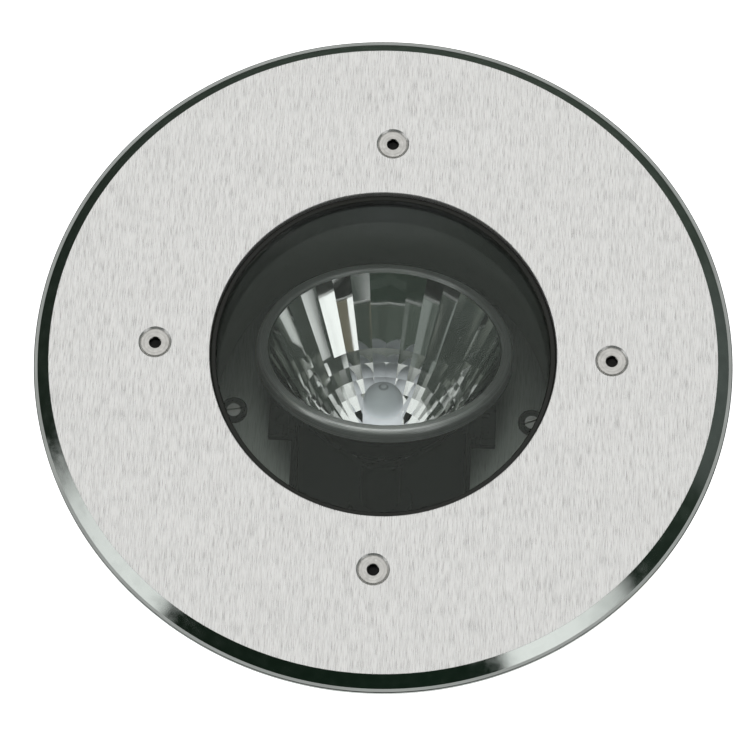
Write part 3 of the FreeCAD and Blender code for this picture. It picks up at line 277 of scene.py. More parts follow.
def hexagon_bar(across, low, high):
    """Closed upright hexagon bar, across its flats."""
    radius = across / 2 / math.cos(math.pi / 6)
    shape = bmesh.new()
    ring = []
    for i in range(6):
        angle = 2 * math.pi * i / 6
        ring.append(shape.verts.new((radius * math.cos(angle), radius * math.sin(angle), low)))
    base = shape.faces.new(ring)
    top = bmesh.ops.extrude_face_region(shape, geom=[base])
    lifted = [part for part in top["geom"] if isinstance(part, bmesh.types.BMVert)]
    bmesh.ops.translate(shape, verts=lifted, vec=(0, 0, high - low))
    bmesh.ops.recalc_face_normals(shape, faces=shape.faces)
    return shape


def head_place():
    """Matrix that hangs a shape drawn with the lamp mouth at zero on its pivot at rest."""
    sizes = bpy.context.scene.well_sizes
    return (Matrix.Translation(PIVOT) @ Matrix.Rotation(-REST_TILT, 4, "X")
            @ Matrix.Translation((0, 0, sizes.mouth_to_pivot)))


def head_frame():
    """Place and rotation of the lamp head's own frame, for patterns that follow it."""
    return tuple(PIVOT), (-REST_TILT, 0.0, 0.0)


def linked(name, data):
    """New object in the scene."""
    piece = bpy.data.objects.new(name, data)
    bpy.context.scene.collection.objects.link(piece)
    return piece


def shade(shape, limit=SHARP):
    """Smooth faces, with the edges sharper than a limit kept sharp."""
    for face in shape.faces:
        face.smooth = True
    for edge in shape.edges:
        edge.smooth = len(edge.link_faces) == 2 and edge.calc_face_angle(0) < limit


def as_object(shape, name, place=None):
    """Object at the origin from a bmesh, which is freed."""
    if place is not None:
        shape.transform(place)
    shade(shape)
    mesh = bpy.data.meshes.new(name)
    shape.to_mesh(mesh)
    shape.free()
    return linked(name, mesh)


def settle(piece):
    """Turns a piece with modifiers into a plain mesh of the same name."""
    name = piece.name
    graph = bpy.context.evaluated_depsgraph_get()
    mesh = bpy.data.meshes.new_from_object(piece.evaluated_get(graph))
    piece.modifiers.clear()
    piece.data = mesh
    mesh.name = name
    shape = bmesh.new()
    shape.from_mesh(mesh)
    bmesh.ops.remove_doubles(shape, verts=shape.verts, dist=1e-6)
    shade(shape)
    shape.to_mesh(mesh)
    shape.free()
    return piece


def carve(piece, cutters):
    """Cuts other objects out of a piece and removes them."""
    for cutter in cutters:
        cut = piece.modifiers.new("cut", "BOOLEAN")
        cut.operation = "DIFFERENCE"
        cut.solver = "EXACT"
        cut.object = cutter
    settle(piece)
    for cutter in cutters:
        bpy.data.objects.remove(cutter)
    return piece


def dress(piece, body, materials, nodes=()):
    """Gives a piece its materials, even shading and body, and hides the nodes it stands for."""
    if not piece.data.materials:
        for material in materials:
            piece.data.materials.append(material)
    even = piece.modifiers.new("even shading", "WEIGHTED_NORMAL")
    even.keep_sharp = True
    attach(piece, body)
    if nodes:
        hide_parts(*nodes)
    return piece


def paint(material, *names):
    """Gives carried-over nodes a material and even shading."""
    for name in names:
        node = frame["nodes"][name]
        node.data.materials.clear()
        node.data.materials.append(material)
        weld = node.modifiers.new("weld", "WELD")
        weld.merge_threshold = 2e-6
        soften = node.modifiers.new("soft faces", "NODES")
        soften.node_group = soft_faces_tree()
        even = node.modifiers.new("even shading", "WEIGHTED_NORMAL")
        even.keep_sharp = True


# ---- geometry node trees ----
def tree_of(name, sockets):
    """New geometry node tree with a geometry output and the given inputs."""
    tree = bpy.data.node_groups.new(name, "GeometryNodeTree")
    for label, kind, value in sockets:
        socket = tree.interface.new_socket(label, in_out="INPUT", socket_type=kind)
        if value is not None:
            socket.default_value = value
    tree.interface.new_socket("Geometry", in_out="OUTPUT", socket_type="NodeSocketGeometry")
    return tree, tree.nodes.new("NodeGroupInput"), tree.nodes.new("NodeGroupOutput")


def put(tree, kind, inputs=None, **fields):
    """Adds a node; a value that is a socket is linked, any other is set."""
    node = tree.nodes.new(kind)
    for field, value in fields.items():
        setattr(node, field, value)
    for label, value in (inputs or {}).items():
        if isinstance(value, bpy.types.NodeSocket):
            tree.links.new(value, node.inputs[label])
        else:
            node.inputs[label].default_value = value
    return node


def soft_faces_tree():
    """Shades faces smooth and keeps the edges sharper than an angle."""
    name = "Soft faces"
    if name in bpy.data.node_groups:
        return bpy.data.node_groups[name]
    tree, start, end = tree_of(name, [("Geometry", "NodeSocketGeometry", None),
                                      ("Angle", "NodeSocketFloat", SHARP)])
    faces = put(tree, "GeometryNodeSetShadeSmooth", {"Geometry": start.outputs["Geometry"]},
                domain="FACE")
    angle = put(tree, "GeometryNodeInputMeshEdgeAngle")
    shallow = put(tree, "FunctionNodeCompare", {"A": angle.outputs["Unsigned Angle"],
                                                "B": start.outputs["Angle"]}, operation="LESS_THAN")
    edges = put(tree, "GeometryNodeSetShadeSmooth",
                {"Geometry": faces.outputs["Geometry"], "Shade Smooth": shallow.outputs["Result"]},
                domain="EDGE")
    tree.links.new(edges.outputs["Geometry"], end.inputs["Geometry"])
    return tree


def repeat_tree(name, material):
    """Puts a part on every point of a mesh, turned by the point's own angle about Z."""
    tree, start, end = tree_of(name, [("Geometry", "NodeSocketGeometry", None),
                                      ("Part", "NodeSocketObject", None)])
    angle = put(tree, "GeometryNodeInputNamedAttribute", {"Name": "turn"}, data_type="FLOAT")
    spin = put(tree, "ShaderNodeCombineXYZ", {"Z": angle.outputs["Attribute"]})
    part = put(tree, "GeometryNodeObjectInfo", {"Object": start.outputs["Part"]})
    copies = put(tree, "GeometryNodeInstanceOnPoints",
                 {"Points": start.outputs["Geometry"], "Instance": part.outputs["Geometry"],
                  "Rotation": spin.outputs["Vector"]})
    real = put(tree, "GeometryNodeRealizeInstances", {"Geometry": copies.outputs["Instances"]})
    finish = put(tree, "GeometryNodeSetMaterial", {"Geometry": real.outputs["Geometry"],
                                                   "Material": material})
    tree.links.new(finish.outputs["Geometry"], end.inputs["Geometry"])
    return tree


def repeated(part, name, places, material):
    """One mesh with a copy of a part at each place, given as (x, y, z, turn)."""
    mesh = bpy.data.meshes.new(name)
    mesh.from_pydata([place[:3] for place in places], [], [])
    angles = mesh.attributes.new("turn", "FLOAT", "POINT")
    for value, place in zip(angles.data, places):
        value.value = place[3]
    piece = linked(name, mesh)
    tree = repeat_tree(name + " copies", material)
    copies = piece.modifiers.new("copies", "NODES")
    copies.node_group = tree
    for item in tree.interface.items_tree:
        if item.name == "Part":
            copies[item.identifier] = part
    settle(piece)
    bpy.data.objects.remove(part)
    return piece


# ---- values in shader trees ----
def calc(tree, operation, *values):
    """Result of a sum on one or two values."""
    return put(tree, "ShaderNodeMath", dict(enumerate(values)), operation=operation).outputs["Value"]


def fitted(tree, value, from_low, from_high, low=0.0, high=1.0, **fields):
    """A value taken from one range to another and held within it."""
    return put(tree, "ShaderNodeMapRange", {"Value": value, "From Min": from_low, "From Max": from_high,
                                            "To Min": low, "To Max": high}, **fields).outputs["Result"]


def ramp_down(tree, value, edge, soft):
    """1 below an edge, falling softly to 0 above it."""
    return fitted(tree, value, edge - soft, edge + soft, 1.0, 0.0, interpolation_type="SMOOTHSTEP")


def away_from(tree, value, middle):
    """Distance of a value from a middle."""
    return calc(tree, "ABSOLUTE", calc(tree, "SUBTRACT", value, middle))


def axes_of(tree, vector):
    """X, Y and Z of a vector."""
    return put(tree, "ShaderNodeSeparateXYZ", {"Vector": vector}).outputs


def vector_of(tree, x, y=0.0):
    """Vector from two values."""
    return put(tree, "ShaderNodeCombineXYZ", {"X": x, "Y": y}).outputs["Vector"]


def size_of(tree, vector):
    """Length of a vector."""
    return put(tree, "ShaderNodeVectorMath", {0: vector}, operation="LENGTH").outputs["Value"]


def mixed(tree, share, first, second):
    """Colour between two by a share."""
    return put(tree, "ShaderNodeMix", {"Factor": share, "A": first, "B": second},
               data_type="RGBA").outputs["Result"]


def mix_surfaces(tree, share, shader, other):
    """Gives a material's surface one of two shaders by a share."""
    mix = put(tree, "ShaderNodeMixShader", {0: share, 1: shader.outputs["BSDF"],
                                            2: other.outputs["BSDF"]})
    tree.links.new(mix.outputs["Shader"], tree.nodes["Material Output"].inputs["Surface"])


# ---- materials ----
def new_material(name, **values):
    """Material with a Principled shader whose sockets are set from the values."""
    material = bpy.data.materials.new(name)
    material.use_nodes = True
    shader = material.node_tree.nodes["Principled BSDF"]
    for label, value in values.items():
        socket = label.replace("_", " ").title().replace("Ior", "IOR")
        shader.inputs[socket].default_value = value
    return material, material.node_tree, shader


def rgba(colour_value, gain=1.0):
    """Colour with its alpha, made lighter or darker."""
    return tuple(min(1.0, part * gain) for part in colour_value) + (1.0,)


def object_point(tree, scale=(1, 1, 1), place=(0, 0, 0), rotation=(0, 0, 0)):
    """Object coordinates, moved and turned into a piece's own frame and then scaled."""
    point = put(tree, "ShaderNodeTexCoord").outputs["Object"]
    if any(place) or any(rotation):
        point = put(tree, "ShaderNodeMapping", {"Vector": point, "Location": place, "Rotation": rotation},
                    vector_type="TEXTURE").outputs["Vector"]
    return put(tree, "ShaderNodeMapping", {"Vector": point, "Scale": scale}).outputs["Vector"]


def noise(tree, point, scale, detail=2.0):
    """Noise from 0 to 1."""
    return put(tree, "ShaderNodeTexNoise", {"Vector": point, "Scale": scale, "Detail": detail,
                                            "Roughness": 0.5}).outputs["Fac"]


def spread(tree, value, low, high):
    """A value from noise, spread between two numbers."""
    return fitted(tree, value, 0.3, 0.7, low, high)


def two_tone(tree, value, first, second, low=0.35, high=0.65):
    """Colour between two by a value."""
    ramp = put(tree, "ShaderNodeValToRGB", {"Fac": value})
    ramp.color_ramp.elements[0].position = low
    ramp.color_ramp.elements[0].color = first
    ramp.color_ramp.elements[1].position = high
    ramp.color_ramp.elements[1].color = second
    return ramp.outputs["Color"]


def surface(tree, shader, tint, roughness, height=None, depth=0.0, strength=1.0):
    """Links a colour, a roughness and a bump to a shader."""
    tree.links.new(tint, shader.inputs["Base Color"])
    tree.links.new(roughness, shader.inputs["Roughness"])
    if height is not None:
        bump = put(tree, "ShaderNodeBump", {"Height": height, "Distance": depth, "Strength": strength})
        tree.links.new(bump.outputs["Normal"], shader.inputs["Normal"])


def brushed(name, tone, roughness, contrast, metallic=1.0):
    """Metal brushed in straight lines along Y."""
    material, tree, shader = new_material(name, metallic=metallic)
    lines = noise(tree, object_point(tree, BRUSH_FINE), 1.0)
    bands = noise(tree, object_point(tree, BRUSH_BROAD), 1.0)
    shares = put(tree, "ShaderNodeMix", {"Factor": 0.22, "A": lines, "B": bands}).outputs["Result"]
    tint = two_tone(tree, shares, rgba(tone, 1 - 2 * contrast), rgba(tone, 1 + contrast / 3), 0.3, 0.56)
    surface(tree, shader, tint, spread(tree, lines, roughness - 0.05, roughness + 0.06), lines, 0.000012)
    return material


def turned_metal(name, tone, roughness, contrast=0.06, depth=0.00001, place=(0, 0, 0),
                 rotation=(0, 0, 0), metallic=1.0, anisotropic=0.0):
    """Metal with fine grooves round an axis: Z, or that of a placed and turned frame."""
    material, tree, shader = new_material(name, metallic=metallic, anisotropic=anisotropic)
    point = object_point(tree, (1, 1, 1), place, rotation)
    own = axes_of(tree, point)
    flat = vector_of(tree, own["X"], own["Y"])
    grooves = noise(tree, vector_of(tree, size_of(tree, flat), own["Z"]), 3200.0)
    patches = noise(tree, point, 60.0)
    tint = two_tone(tree, grooves, rgba(tone, 1 - contrast), rgba(tone, 1 + contrast))
    surface(tree, shader, tint, spread(tree, patches, roughness - 0.04, roughness + 0.05), grooves, depth)
    across = put(tree, "ShaderNodeVectorRotate", {"Vector": flat, "Rotation": rotation},
                 rotation_type="EULER_XYZ")
    tangent = put(tree, "ShaderNodeVectorTransform", {"Vector": across.outputs["Vector"]},
                  vector_type="VECTOR", convert_from="OBJECT", convert_to="WORLD")
    tree.links.new(tangent.outputs["Vector"], shader.inputs["Tangent"])
    return material


def coated(name, tone, roughness, grain, depth, contrast=0.12):
    """Sprayed or moulded surface with a fine even texture."""
    material, tree, shader = new_material(name)
    point = object_point(tree)
    patches = noise(tree, point, 35.0, 4.0)
    tint = two_tone(tree, patches, rgba(tone, 1 - contrast), rgba(tone, 1 + contrast))
    surface(tree, shader, tint, spread(tree, patches, roughness - 0.06, roughness + 0.08),
            noise(tree, point, grain), depth, 0.6)
    return material


def plated(name, tone, roughness=0.3):
    """Plated metal with a faint cloudy pattern."""
    material, tree, shader = new_material(name, metallic=1.0)
    point = object_point(tree)
    clouds = noise(tree, point, 220.0, 3.0)
    surface(tree, shader, two_tone(tree, clouds, rgba(tone, 0.92), rgba(tone, 1.05)),
            spread(tree, clouds, roughness - 0.05, roughness + 0.08), noise(tree, point, 2400.0),
            0.000008, 0.5)
    return material


def paint_screw_pocket_shade(material, radius, within=True):
    """Paints the shade of the screws' round pockets: blackens a finish within a radius of the tray's screw
    axes, or further out than it.
    """
    tree = material.node_tree
    colour_in = tree.nodes["Principled BSDF"].inputs["Base Color"]
    head_r = (PAN_SCREWS_HIGH.y - PAN_SCREWS_LOW.y) / 2
    own = axes_of(tree, object_point(tree))
    along = away_from(tree, calc(tree, "ABSOLUTE", own["X"]), PAN_SCREWS_HIGH.x - head_r)
    across = away_from(tree, own["Y"], (PAN_SCREWS_HIGH.y + PAN_SCREWS_LOW.y) / 2)
    near, far = (1.0, 0.0) if within else (0.0, 1.0)
    share = fitted(tree, size_of(tree, vector_of(tree, along, across)), radius - 0.2 * MM,
                   radius + 0.3 * MM, near, far)
    tree.links.new(mixed(tree, share, colour_in.links[0].from_socket, SHADOW), colour_in)


def mirror_bright(name, tone):
    """Bright rolled reflector metal with a faint film."""
    material, tree, shader = new_material(name, metallic=1.0)
    film = noise(tree, object_point(tree), 55.0, 3.0)
    surface(tree, shader, two_tone(tree, film, rgba(tone, 0.95), rgba(tone, 1.0)),
            spread(tree, film, 0.03, 0.07))
    return material


def screw_metal(name, tone):
    """Machined screw: faint rings round each screw's own axis, with painted shade in the hexagon socket."""
    material, tree, shader = new_material(name, metallic=1.0)
    distance = put(tree, "ShaderNodeAttribute", attribute_name="axis_distance").outputs["Fac"]
    socket = put(tree, "ShaderNodeAttribute", attribute_name="in_socket").outputs["Fac"]
    rings = noise(tree, vector_of(tree, distance), 1500.0)
    specks = noise(tree, object_point(tree), 900.0, 3.0)
    face = two_tone(tree, rings, rgba(tone, 0.86), rgba(tone, 1.06))
    # painted shade: the inside of the hexagon socket is made nearly black
    surface(tree, shader, mixed(tree, socket, face, rgba(tone, 0.03)), spread(tree, specks, 0.26, 0.42),
            rings, 0.00002, 0.8)
    return material


def clear_pane(name):
    """Clear glass with a faint green cast, which casts no dark shadow."""
    material, tree, shader = new_material(name, base_color=(0.97, 0.99, 0.98, 1.0), roughness=0.0,
                                          ior=1.52, transmission_weight=1.0,
                                          specular_tint=(0.33, 0.36, 0.33, 1.0))
    shadow = put(tree, "ShaderNodeLightPath").outputs["Is Shadow Ray"]
    clear = put(tree, "ShaderNodeBsdfTransparent", {"Color": (0.90, 0.94, 0.92, 1.0)})
    mix_surfaces(tree, shadow, shader, clear)
    return material


def frosted(name, tone, dark, coat_top):
    """Acid frosted glass in the lamp head's frame, black coated below a height.

    Painted shade darkens it towards the sealed tip, and a painted glow stands in for the light that the
    bowl gathers on it."""
    # the emission is a painted glow for light that the bowl gathers on the tube; the lamp is not lit
    material, tree, shader = new_material(name, ior=1.48, subsurface_weight=0.35, subsurface_scale=0.003,
                                          subsurface_radius=(1.0, 1.0, 1.0), emission_strength=0.38)
    point = object_point(tree)
    haze = noise(tree, point, 90.0, 3.0)
    own = axes_of(tree, object_point(tree, (1, 1, 1), *head_frame()))
    black_part = fitted(tree, own["Z"], coat_top - 0.4 * MM, coat_top, 1.0, 0.0)
    # painted shade: the glass grows darker towards the tip
    painted_tip_shade = fitted(tree, own["Z"], coat_top + 20 * MM, coat_top + 31 * MM, 1.0, 0.55)
    # painted glow on the lower tube, where the bowl gathers light
    painted_bowl_light = fitted(tree, own["Z"], coat_top + 19 * MM, coat_top + 29 * MM, 1.0, 0.0,
                      interpolation_type="SMOOTHSTEP")
    off_axis = size_of(tree, vector_of(tree, own["X"], own["Y"]))
    seal = fitted(tree, away_from(tree, off_axis, TUBE_SEAL_R), 0.2 * MM, 0.6 * MM, 0.6, 1.0)
    haze_and_tip_shade = calc(tree, "MULTIPLY", painted_tip_shade, spread(tree, haze, 0.94, 1.02))
    glass = mixed(tree, calc(tree, "MULTIPLY", haze_and_tip_shade, seal), BLACK, rgba(tone))
    painted_glow = calc(tree, "MULTIPLY", painted_bowl_light, calc(tree, "SUBTRACT", 1.0, black_part))
    tree.links.new(mixed(tree, painted_glow, BLACK, rgba(tone)), shader.inputs["Emission Color"])
    surface(tree, shader, mixed(tree, black_part, glass, rgba(dark)), spread(tree, haze, 0.36, 0.48),
            noise(tree, point, 5200.0), 0.00002, 0.4)
    return material


# ---- pieces of the cover ----
class WELL_OT_cover(bpy.types.Operator):
    """Makes the bevelled cover with its four countersinks"""
    bl_idname = "well.cover"
    bl_label = "Cover"

    def execute(self, context):
        sizes = context.scene.well_sizes
        colours = context.scene.well_colours
        rim = COVER_HIGH.x + sizes.rim_reach
        face = turned([(sizes.opening_r, COVER_LOW.z, sizes.edge), (rim, COVER_LOW.z),
                       (rim - sizes.bevel_width, TOP, sizes.edge),
                       (sizes.opening_r, TOP, sizes.edge * 2)], sizes.sides)
        piece = as_object(face, "cover")
        over = 2 * MM
        cutters = []
        for i in range(4):
            cone = turned([(0, COVER_LOW.z - over), (sizes.screw_hole_r, COVER_LOW.z - over),
                           (sizes.screw_hole_r, TOP - sizes.screw_mouth_r + sizes.screw_hole_r),
                           (sizes.screw_mouth_r, TOP), (sizes.screw_mouth_r + sizes.edge, TOP + sizes.edge),
                           (0, TOP + sizes.edge)], 64)
            out = Matrix.Translation((sizes.screw_circle_r, 0, 0))
            cutters.append(as_object(cone, "countersink", Matrix.Rotation(math.pi / 2 * i, 4, "Z") @ out))
        carve(piece, cutters)
        for metal in (brushed("brushed cover steel", colours.cover, 0.30, 0.22, metallic=0.78),
                      plated("polished bevel", colours.bevel, 0.10)):
            piece.data.materials.append(metal)
        for polygon in piece.data.polygons:
            middle = polygon.center
            outside = math.hypot(middle.x, middle.y) > rim - sizes.bevel_width * 0.98
            polygon.material_index = int(outside and abs(polygon.normal.z) < 0.95)
        dress(piece, "housing_body", [], ["cover_plate"])
        return {"FINISHED"}


class WELL_OT_flange(bpy.types.Operator):
    """Makes the satin flange ring under the cover"""
    bl_idname = "well.flange"
    bl_label = "Flange ring"

    def execute(self, context):
        sizes = context.scene.well_sizes
        colours = context.scene.well_colours
        rim = FLANGE_HIGH.x
        edge = sizes.flange_edge
        step_top = FLANGE_LOW.z + edge
        ring = turned([(sizes.flange_inner_r, FLANGE_LOW.z), (sizes.flange_step_r, FLANGE_LOW.z),
                       (sizes.flange_step_r, step_top), (rim, step_top, edge), (rim, FLANGE_HIGH.z, edge),
                       (sizes.flange_inner_r, FLANGE_HIGH.z)], sizes.sides)
        piece = as_object(ring, "flange_lip")
        metal = turned_metal("satin flange", colours.flange, 0.32, contrast=0.10)
        dress(piece, "housing_body", [metal], ["flange_ring"])
        return {"FINISHED"}


class WELL_OT_cover_screws(bpy.types.Operator):
    """Makes the four countersunk screws of the cover, each stopped at its own angle"""
    bl_idname = "well.cover_screws"
    bl_label = "Cover screws"

    def execute(self, context):
        sizes = context.scene.well_sizes
        head_top = TOP - sizes.screw_recess
        land = 0.4 * MM
        chamfer = 0.5 * MM
        shank_top = head_top - land - (sizes.screw_head_r - sizes.screw_r)
        end = head_top - sizes.screw_length
        shape = turned([(0, head_top), (sizes.screw_head_r, head_top, 0.2 * MM),
                        (sizes.screw_head_r, head_top - land), (sizes.screw_r, shank_top),
                        (sizes.screw_r, end + chamfer), (sizes.screw_r - chamfer, end), (0, end)], 72)
        screw = as_object(shape, "screw")
        socket_low = head_top - sizes.socket_depth
        socket = as_object(hexagon_bar(sizes.socket_across, socket_low, head_top + MM), "socket")
        mouth_r = sizes.socket_across / 2 * 1.22
        mouth = as_object(turned([(0, head_top - mouth_r), (mouth_r, head_top), (mouth_r, head_top + MM),
                                  (0, head_top + MM)], 72), "socket mouth")
        drill_low = socket_low - 1.1 * MM
        drill_top = socket_low + 0.05 * MM
        drill_r = sizes.socket_across / 2
        drill = as_object(turned([(0, drill_low), (drill_r, drill_top), (0, drill_top)], 36), "drill point")
        carve(screw, [socket, mouth, drill])
        distance = screw.data.attributes.new("axis_distance", "FLOAT", "POINT")
        socket_shade_mask = screw.data.attributes.new("in_socket", "FLOAT", "POINT")
        for vertex in screw.data.vertices:
            away = math.hypot(vertex.co.x, vertex.co.y)
            distance.data[vertex.index].value = away
            # mask of painted shade for the inside of the hexagon socket
            inside = away < sizes.socket_across * 0.7 and vertex.co.z < head_top - 0.3 * MM
            socket_shade_mask.data[vertex.index].value = float(inside and vertex.co.z > end + 2 * MM)
        places = []
        for i, stop in enumerate(SCREW_STOPS):
            angle = math.pi / 2 * i
            places.append((sizes.screw_circle_r * math.cos(angle), sizes.screw_circle_r * math.sin(angle),
                           0.0, math.radians(stop)))
        metal = screw_metal("socket screw steel", context.scene.well_colours.screw)
        piece = repeated(screw, "cover_socket_screws", places, metal)
        dress(piece, "housing_body", [metal], ["cover_screws"])
        return {"FINISHED"}


class WELL_OT_pane(bpy.types.Operator):
    """Makes the thick pane and the silicone channel round it"""
    bl_idname = "well.pane"
    bl_label = "Pane and gasket"

    def execute(self, context):
        sizes = context.scene.well_sizes
        colours = context.scene.well_colours
        glass_r = PANE_HIGH.x
        edge = sizes.pane_edge
        pane = turned([(0, PANE_LOW.z), (glass_r - edge, PANE_LOW.z), (glass_r, PANE_LOW.z + edge),
                       (glass_r, PANE_HIGH.z - edge), (glass_r - edge, PANE_HIGH.z), (0, PANE_HIGH.z)],
                      sizes.sides)
        dress(as_object(pane, "pane"), "housing_body", [clear_pane("clear pane")],
              ["glass_pane"])
        outer = GASKET_HIGH.x
        bead_top = TOP - sizes.bead_drop
        bead = 0.5 * MM
        gap = 0.02 * MM
        channel = turned([(sizes.gasket_low_r, GASKET_LOW.z, 0.3 * MM), (outer, GASKET_LOW.z),
                          (outer, COVER_LOW.z), (sizes.bead_outer_r, COVER_LOW.z),
                          (sizes.bead_outer_r, bead_top, bead), (sizes.bead_inner_r, bead_top, bead),
                          (sizes.bead_inner_r, PANE_HIGH.z + gap), (glass_r - edge, PANE_HIGH.z + gap),
                          (glass_r + gap, PANE_HIGH.z - edge), (glass_r + gap, PANE_LOW.z + edge),
                          (glass_r - edge, PANE_LOW.z - gap), (sizes.gasket_low_r, PANE_LOW.z - gap)],
                         sizes.sides)
        rubber = coated("black silicone", colours.silicone, 0.5, 700.0, 0.00003)
        dress(as_object(channel, "gasket"), "housing_body", [rubber], ["glass_gasket"])
        return {"FINISHED"}


# ---- the well ----
class WELL_OT_well(bpy.types.Operator):
    """Makes the well sleeve and gives the turntable its finishes"""
    bl_idname = "well.well"
    bl_label = "Well and turntable"

    def execute(self, context):
        sizes = context.scene.well_sizes
        colours = context.scene.well_colours
        wall = sizes.sleeve_t
        out_r = sizes.sleeve_r + wall
        ledge = SLEEVE_HIGH.z - wall
        tab_drop = 4 * MM
        lip_low = SLEEVE_LOW.z + tab_drop
        lip_top = lip_low + wall
        shape = turned([(sizes.sleeve_lip_r, lip_low, 0.2 * MM), (out_r, lip_low), (out_r, ledge),
                        (SLEEVE_HIGH.x, ledge), (SLEEVE_HIGH.x, SLEEVE_HIGH.z),
                        (sizes.sleeve_r, SLEEVE_HIGH.z, wall * 0.98), (sizes.sleeve_r, lip_top),
                        (sizes.sleeve_lip_r, lip_top, 0.2 * MM)], sizes.sides)
        sleeve = as_object(shape, "well_wall")
        tab = turned([(sizes.sleeve_r, SLEEVE_LOW.z), (out_r, SLEEVE_LOW.z), (out_r, lip_low),
                      (sizes.sleeve_r, lip_low)], sizes.sides)
        half = math.asin(3 * MM / sizes.sleeve_r)
        far = [face for face in tab.faces
               if abs(math.atan2(face.calc_center_median().x, face.calc_center_median().y)) > half]
        bmesh.ops.delete(tab, geom=far, context="FACES")
        open_edges = [edge for edge in tab.edges if edge.is_boundary]
        bmesh.ops.holes_fill(tab, edges=open_edges)
        bmesh.ops.recalc_face_normals(tab, faces=tab.faces)
        tab_object = as_object(tab, "stop_tab")
        well_coat = coated("well lacquer", colours.well, 0.42, 500.0, 0.000006)
        dress(sleeve, "housing_body", [well_coat], ["well_sleeve"])
        dress(tab_object, "housing_body", [well_coat])
        tray_metal = brushed("dark brushed tray", colours.tray, 0.34, 0.16)
        # painted shade: dark discs round the slotted screws stand in for the shade in their pockets
        paint_screw_pocket_shade(tray_metal, TRAY_SHADOW_R)
        paint(tray_metal, "tray")
        rings = turned_metal("turned ring metal", colours.turned, 0.32)
        paint_screw_pocket_shade(rings, RING_SHADOW_R)
        paint(rings, "turntable_ring", "pan_clamp_ring")
        slotted = plated("slotted screw steel", colours.dull, 0.34)
        # painted shade on the slotted screws' rims, outside their faces
        paint_screw_pocket_shade(slotted, SCREW_UNSHADED_R, within=False)
        paint(slotted, "pan_screws")
        paint(coated("blackened steel", colours.black, 0.42, 1200.0, 0.00003), "pan_nuts", "pivot_brackets")
        return {"FINISHED"}


# ---- the lamp head ----
class WELL_OT_collar(bpy.types.Operator):
    """Makes the turned collar of the lamp head"""
    bl_idname = "well.collar"
    bl_label = "Collar"

    def execute(self, context):
        sizes = context.scene.well_sizes
        colours = context.scene.well_colours
        place, rotation = head_frame()
        foot = 1.2 * MM
        round_top = 2.1 * MM
        shape = turned([(sizes.collar_seat_r, -sizes.collar_h), (sizes.collar_r - foot, -sizes.collar_h),
                        (sizes.collar_r, foot - sizes.collar_h), (sizes.collar_r, 0, round_top),
                        (sizes.collar_bore_r, 0, MM), (sizes.collar_bore_r, -sizes.collar_lip_t),
                        (sizes.collar_seat_r, -sizes.collar_lip_t)], sizes.sides)
        metal = turned_metal("turned collar aluminium", colours.turned, 0.38, contrast=0.25, depth=0.00010,
                             place=place, rotation=rotation, metallic=0.93, anisotropic=0.85)
        dress(as_object(shape, "lamp_collar", head_place()), "lamp_head", [metal],
              ["collar"])
        return {"FINISHED"}


def bowl_radius(sizes, depth):
    """Radius of the reflector's parabola at a depth below its rim."""
    vertex = sizes.reflector_r ** 2 / (4 * sizes.focal)
    return math.sqrt(4 * sizes.focal * (vertex - depth))


def facet_column(sizes):
    """One slice of the bowl: bulged facets inside, smooth outside, closed at rim and bottom."""
    half = math.pi / sizes.facet_columns
    levels = [0.0] + [depth * MM for depth in FACET_BREAKS]
    rim = -sizes.collar_lip_t
    inner = []
    for upper, lower in zip(levels, levels[1:]):
        for step in range(FACET_STEPS):
            share = step / FACET_STEPS
            inner.append((upper, lower, share))
    inner.append((levels[-2], levels[-1], 1.0))
    shape = bmesh.new()
    rows = []
    for upper, lower, share in inner:
        depth = upper + (lower - upper) * share
        corner_r = bowl_radius(sizes, upper) * (1 - share) + bowl_radius(sizes, lower) * share
        row = []
        for step in range(FACET_STEPS + 1):
            across = 2 * step / FACET_STEPS - 1
            crown = (1 - across ** 2) * 4 * share * (1 - share) * sizes.facet_bulge
            flat_r = corner_r * math.cos(half) - crown
            sideways = corner_r * math.sin(half) * across
            row.append(shape.verts.new((flat_r, sideways, rim - depth)))
        rows.append(row)
    seat_r = sizes.collar_seat_r - 0.1 * MM
    wall = sizes.reflector_t
    outline = [(seat_r, rim), (seat_r, rim - wall), (sizes.reflector_r + wall, rim - wall)]
    count = 12
    for i in range(1, count + 1):
        depth = levels[-1] * i / count
        if depth > wall:
            outline.append((bowl_radius(sizes, depth) + wall, rim - depth))
    for radius, height in reversed(outline):
        row = []
        for step in range(FACET_STEPS + 1):
            angle = half * (2 * step / FACET_STEPS - 1)
            row.append(shape.verts.new((radius * math.cos(angle), radius * math.sin(angle), height)))
        rows.append(row)
    for near, far in zip(rows, rows[1:] + rows[:1]):
        for step in range(FACET_STEPS):
            shape.faces.new([near[step], near[step + 1], far[step + 1], far[step]])
    return shape


class WELL_OT_reflector(bpy.types.Operator):
    """Makes the faceted bowl from one column of facets"""
    bl_idname = "well.reflector"
    bl_label = "Faceted reflector"

    def execute(self, context):
        sizes = context.scene.well_sizes
        column = as_object(facet_column(sizes), "facet column")
        places = [(0.0, 0.0, 0.0, math.pi * (2 * i + 1) / sizes.facet_columns)
                  for i in range(sizes.facet_columns)]
        metal = mirror_bright("bright reflector metal", context.scene.well_colours.mirror)
        piece = repeated(column, "faceted_bowl", places, metal)
        shape = bmesh.new()
        shape.from_mesh(piece.data)
        bmesh.ops.remove_doubles(shape, verts=shape.verts, dist=5e-6)
        bmesh.ops.recalc_face_normals(shape, faces=shape.faces)
        shape.transform(head_place())
        shade(shape, FACET_EDGE)
        shape.to_mesh(piece.data)
        shape.free()
        dress(piece, "lamp_head", [metal], ["reflector"])
        return {"FINISHED"}


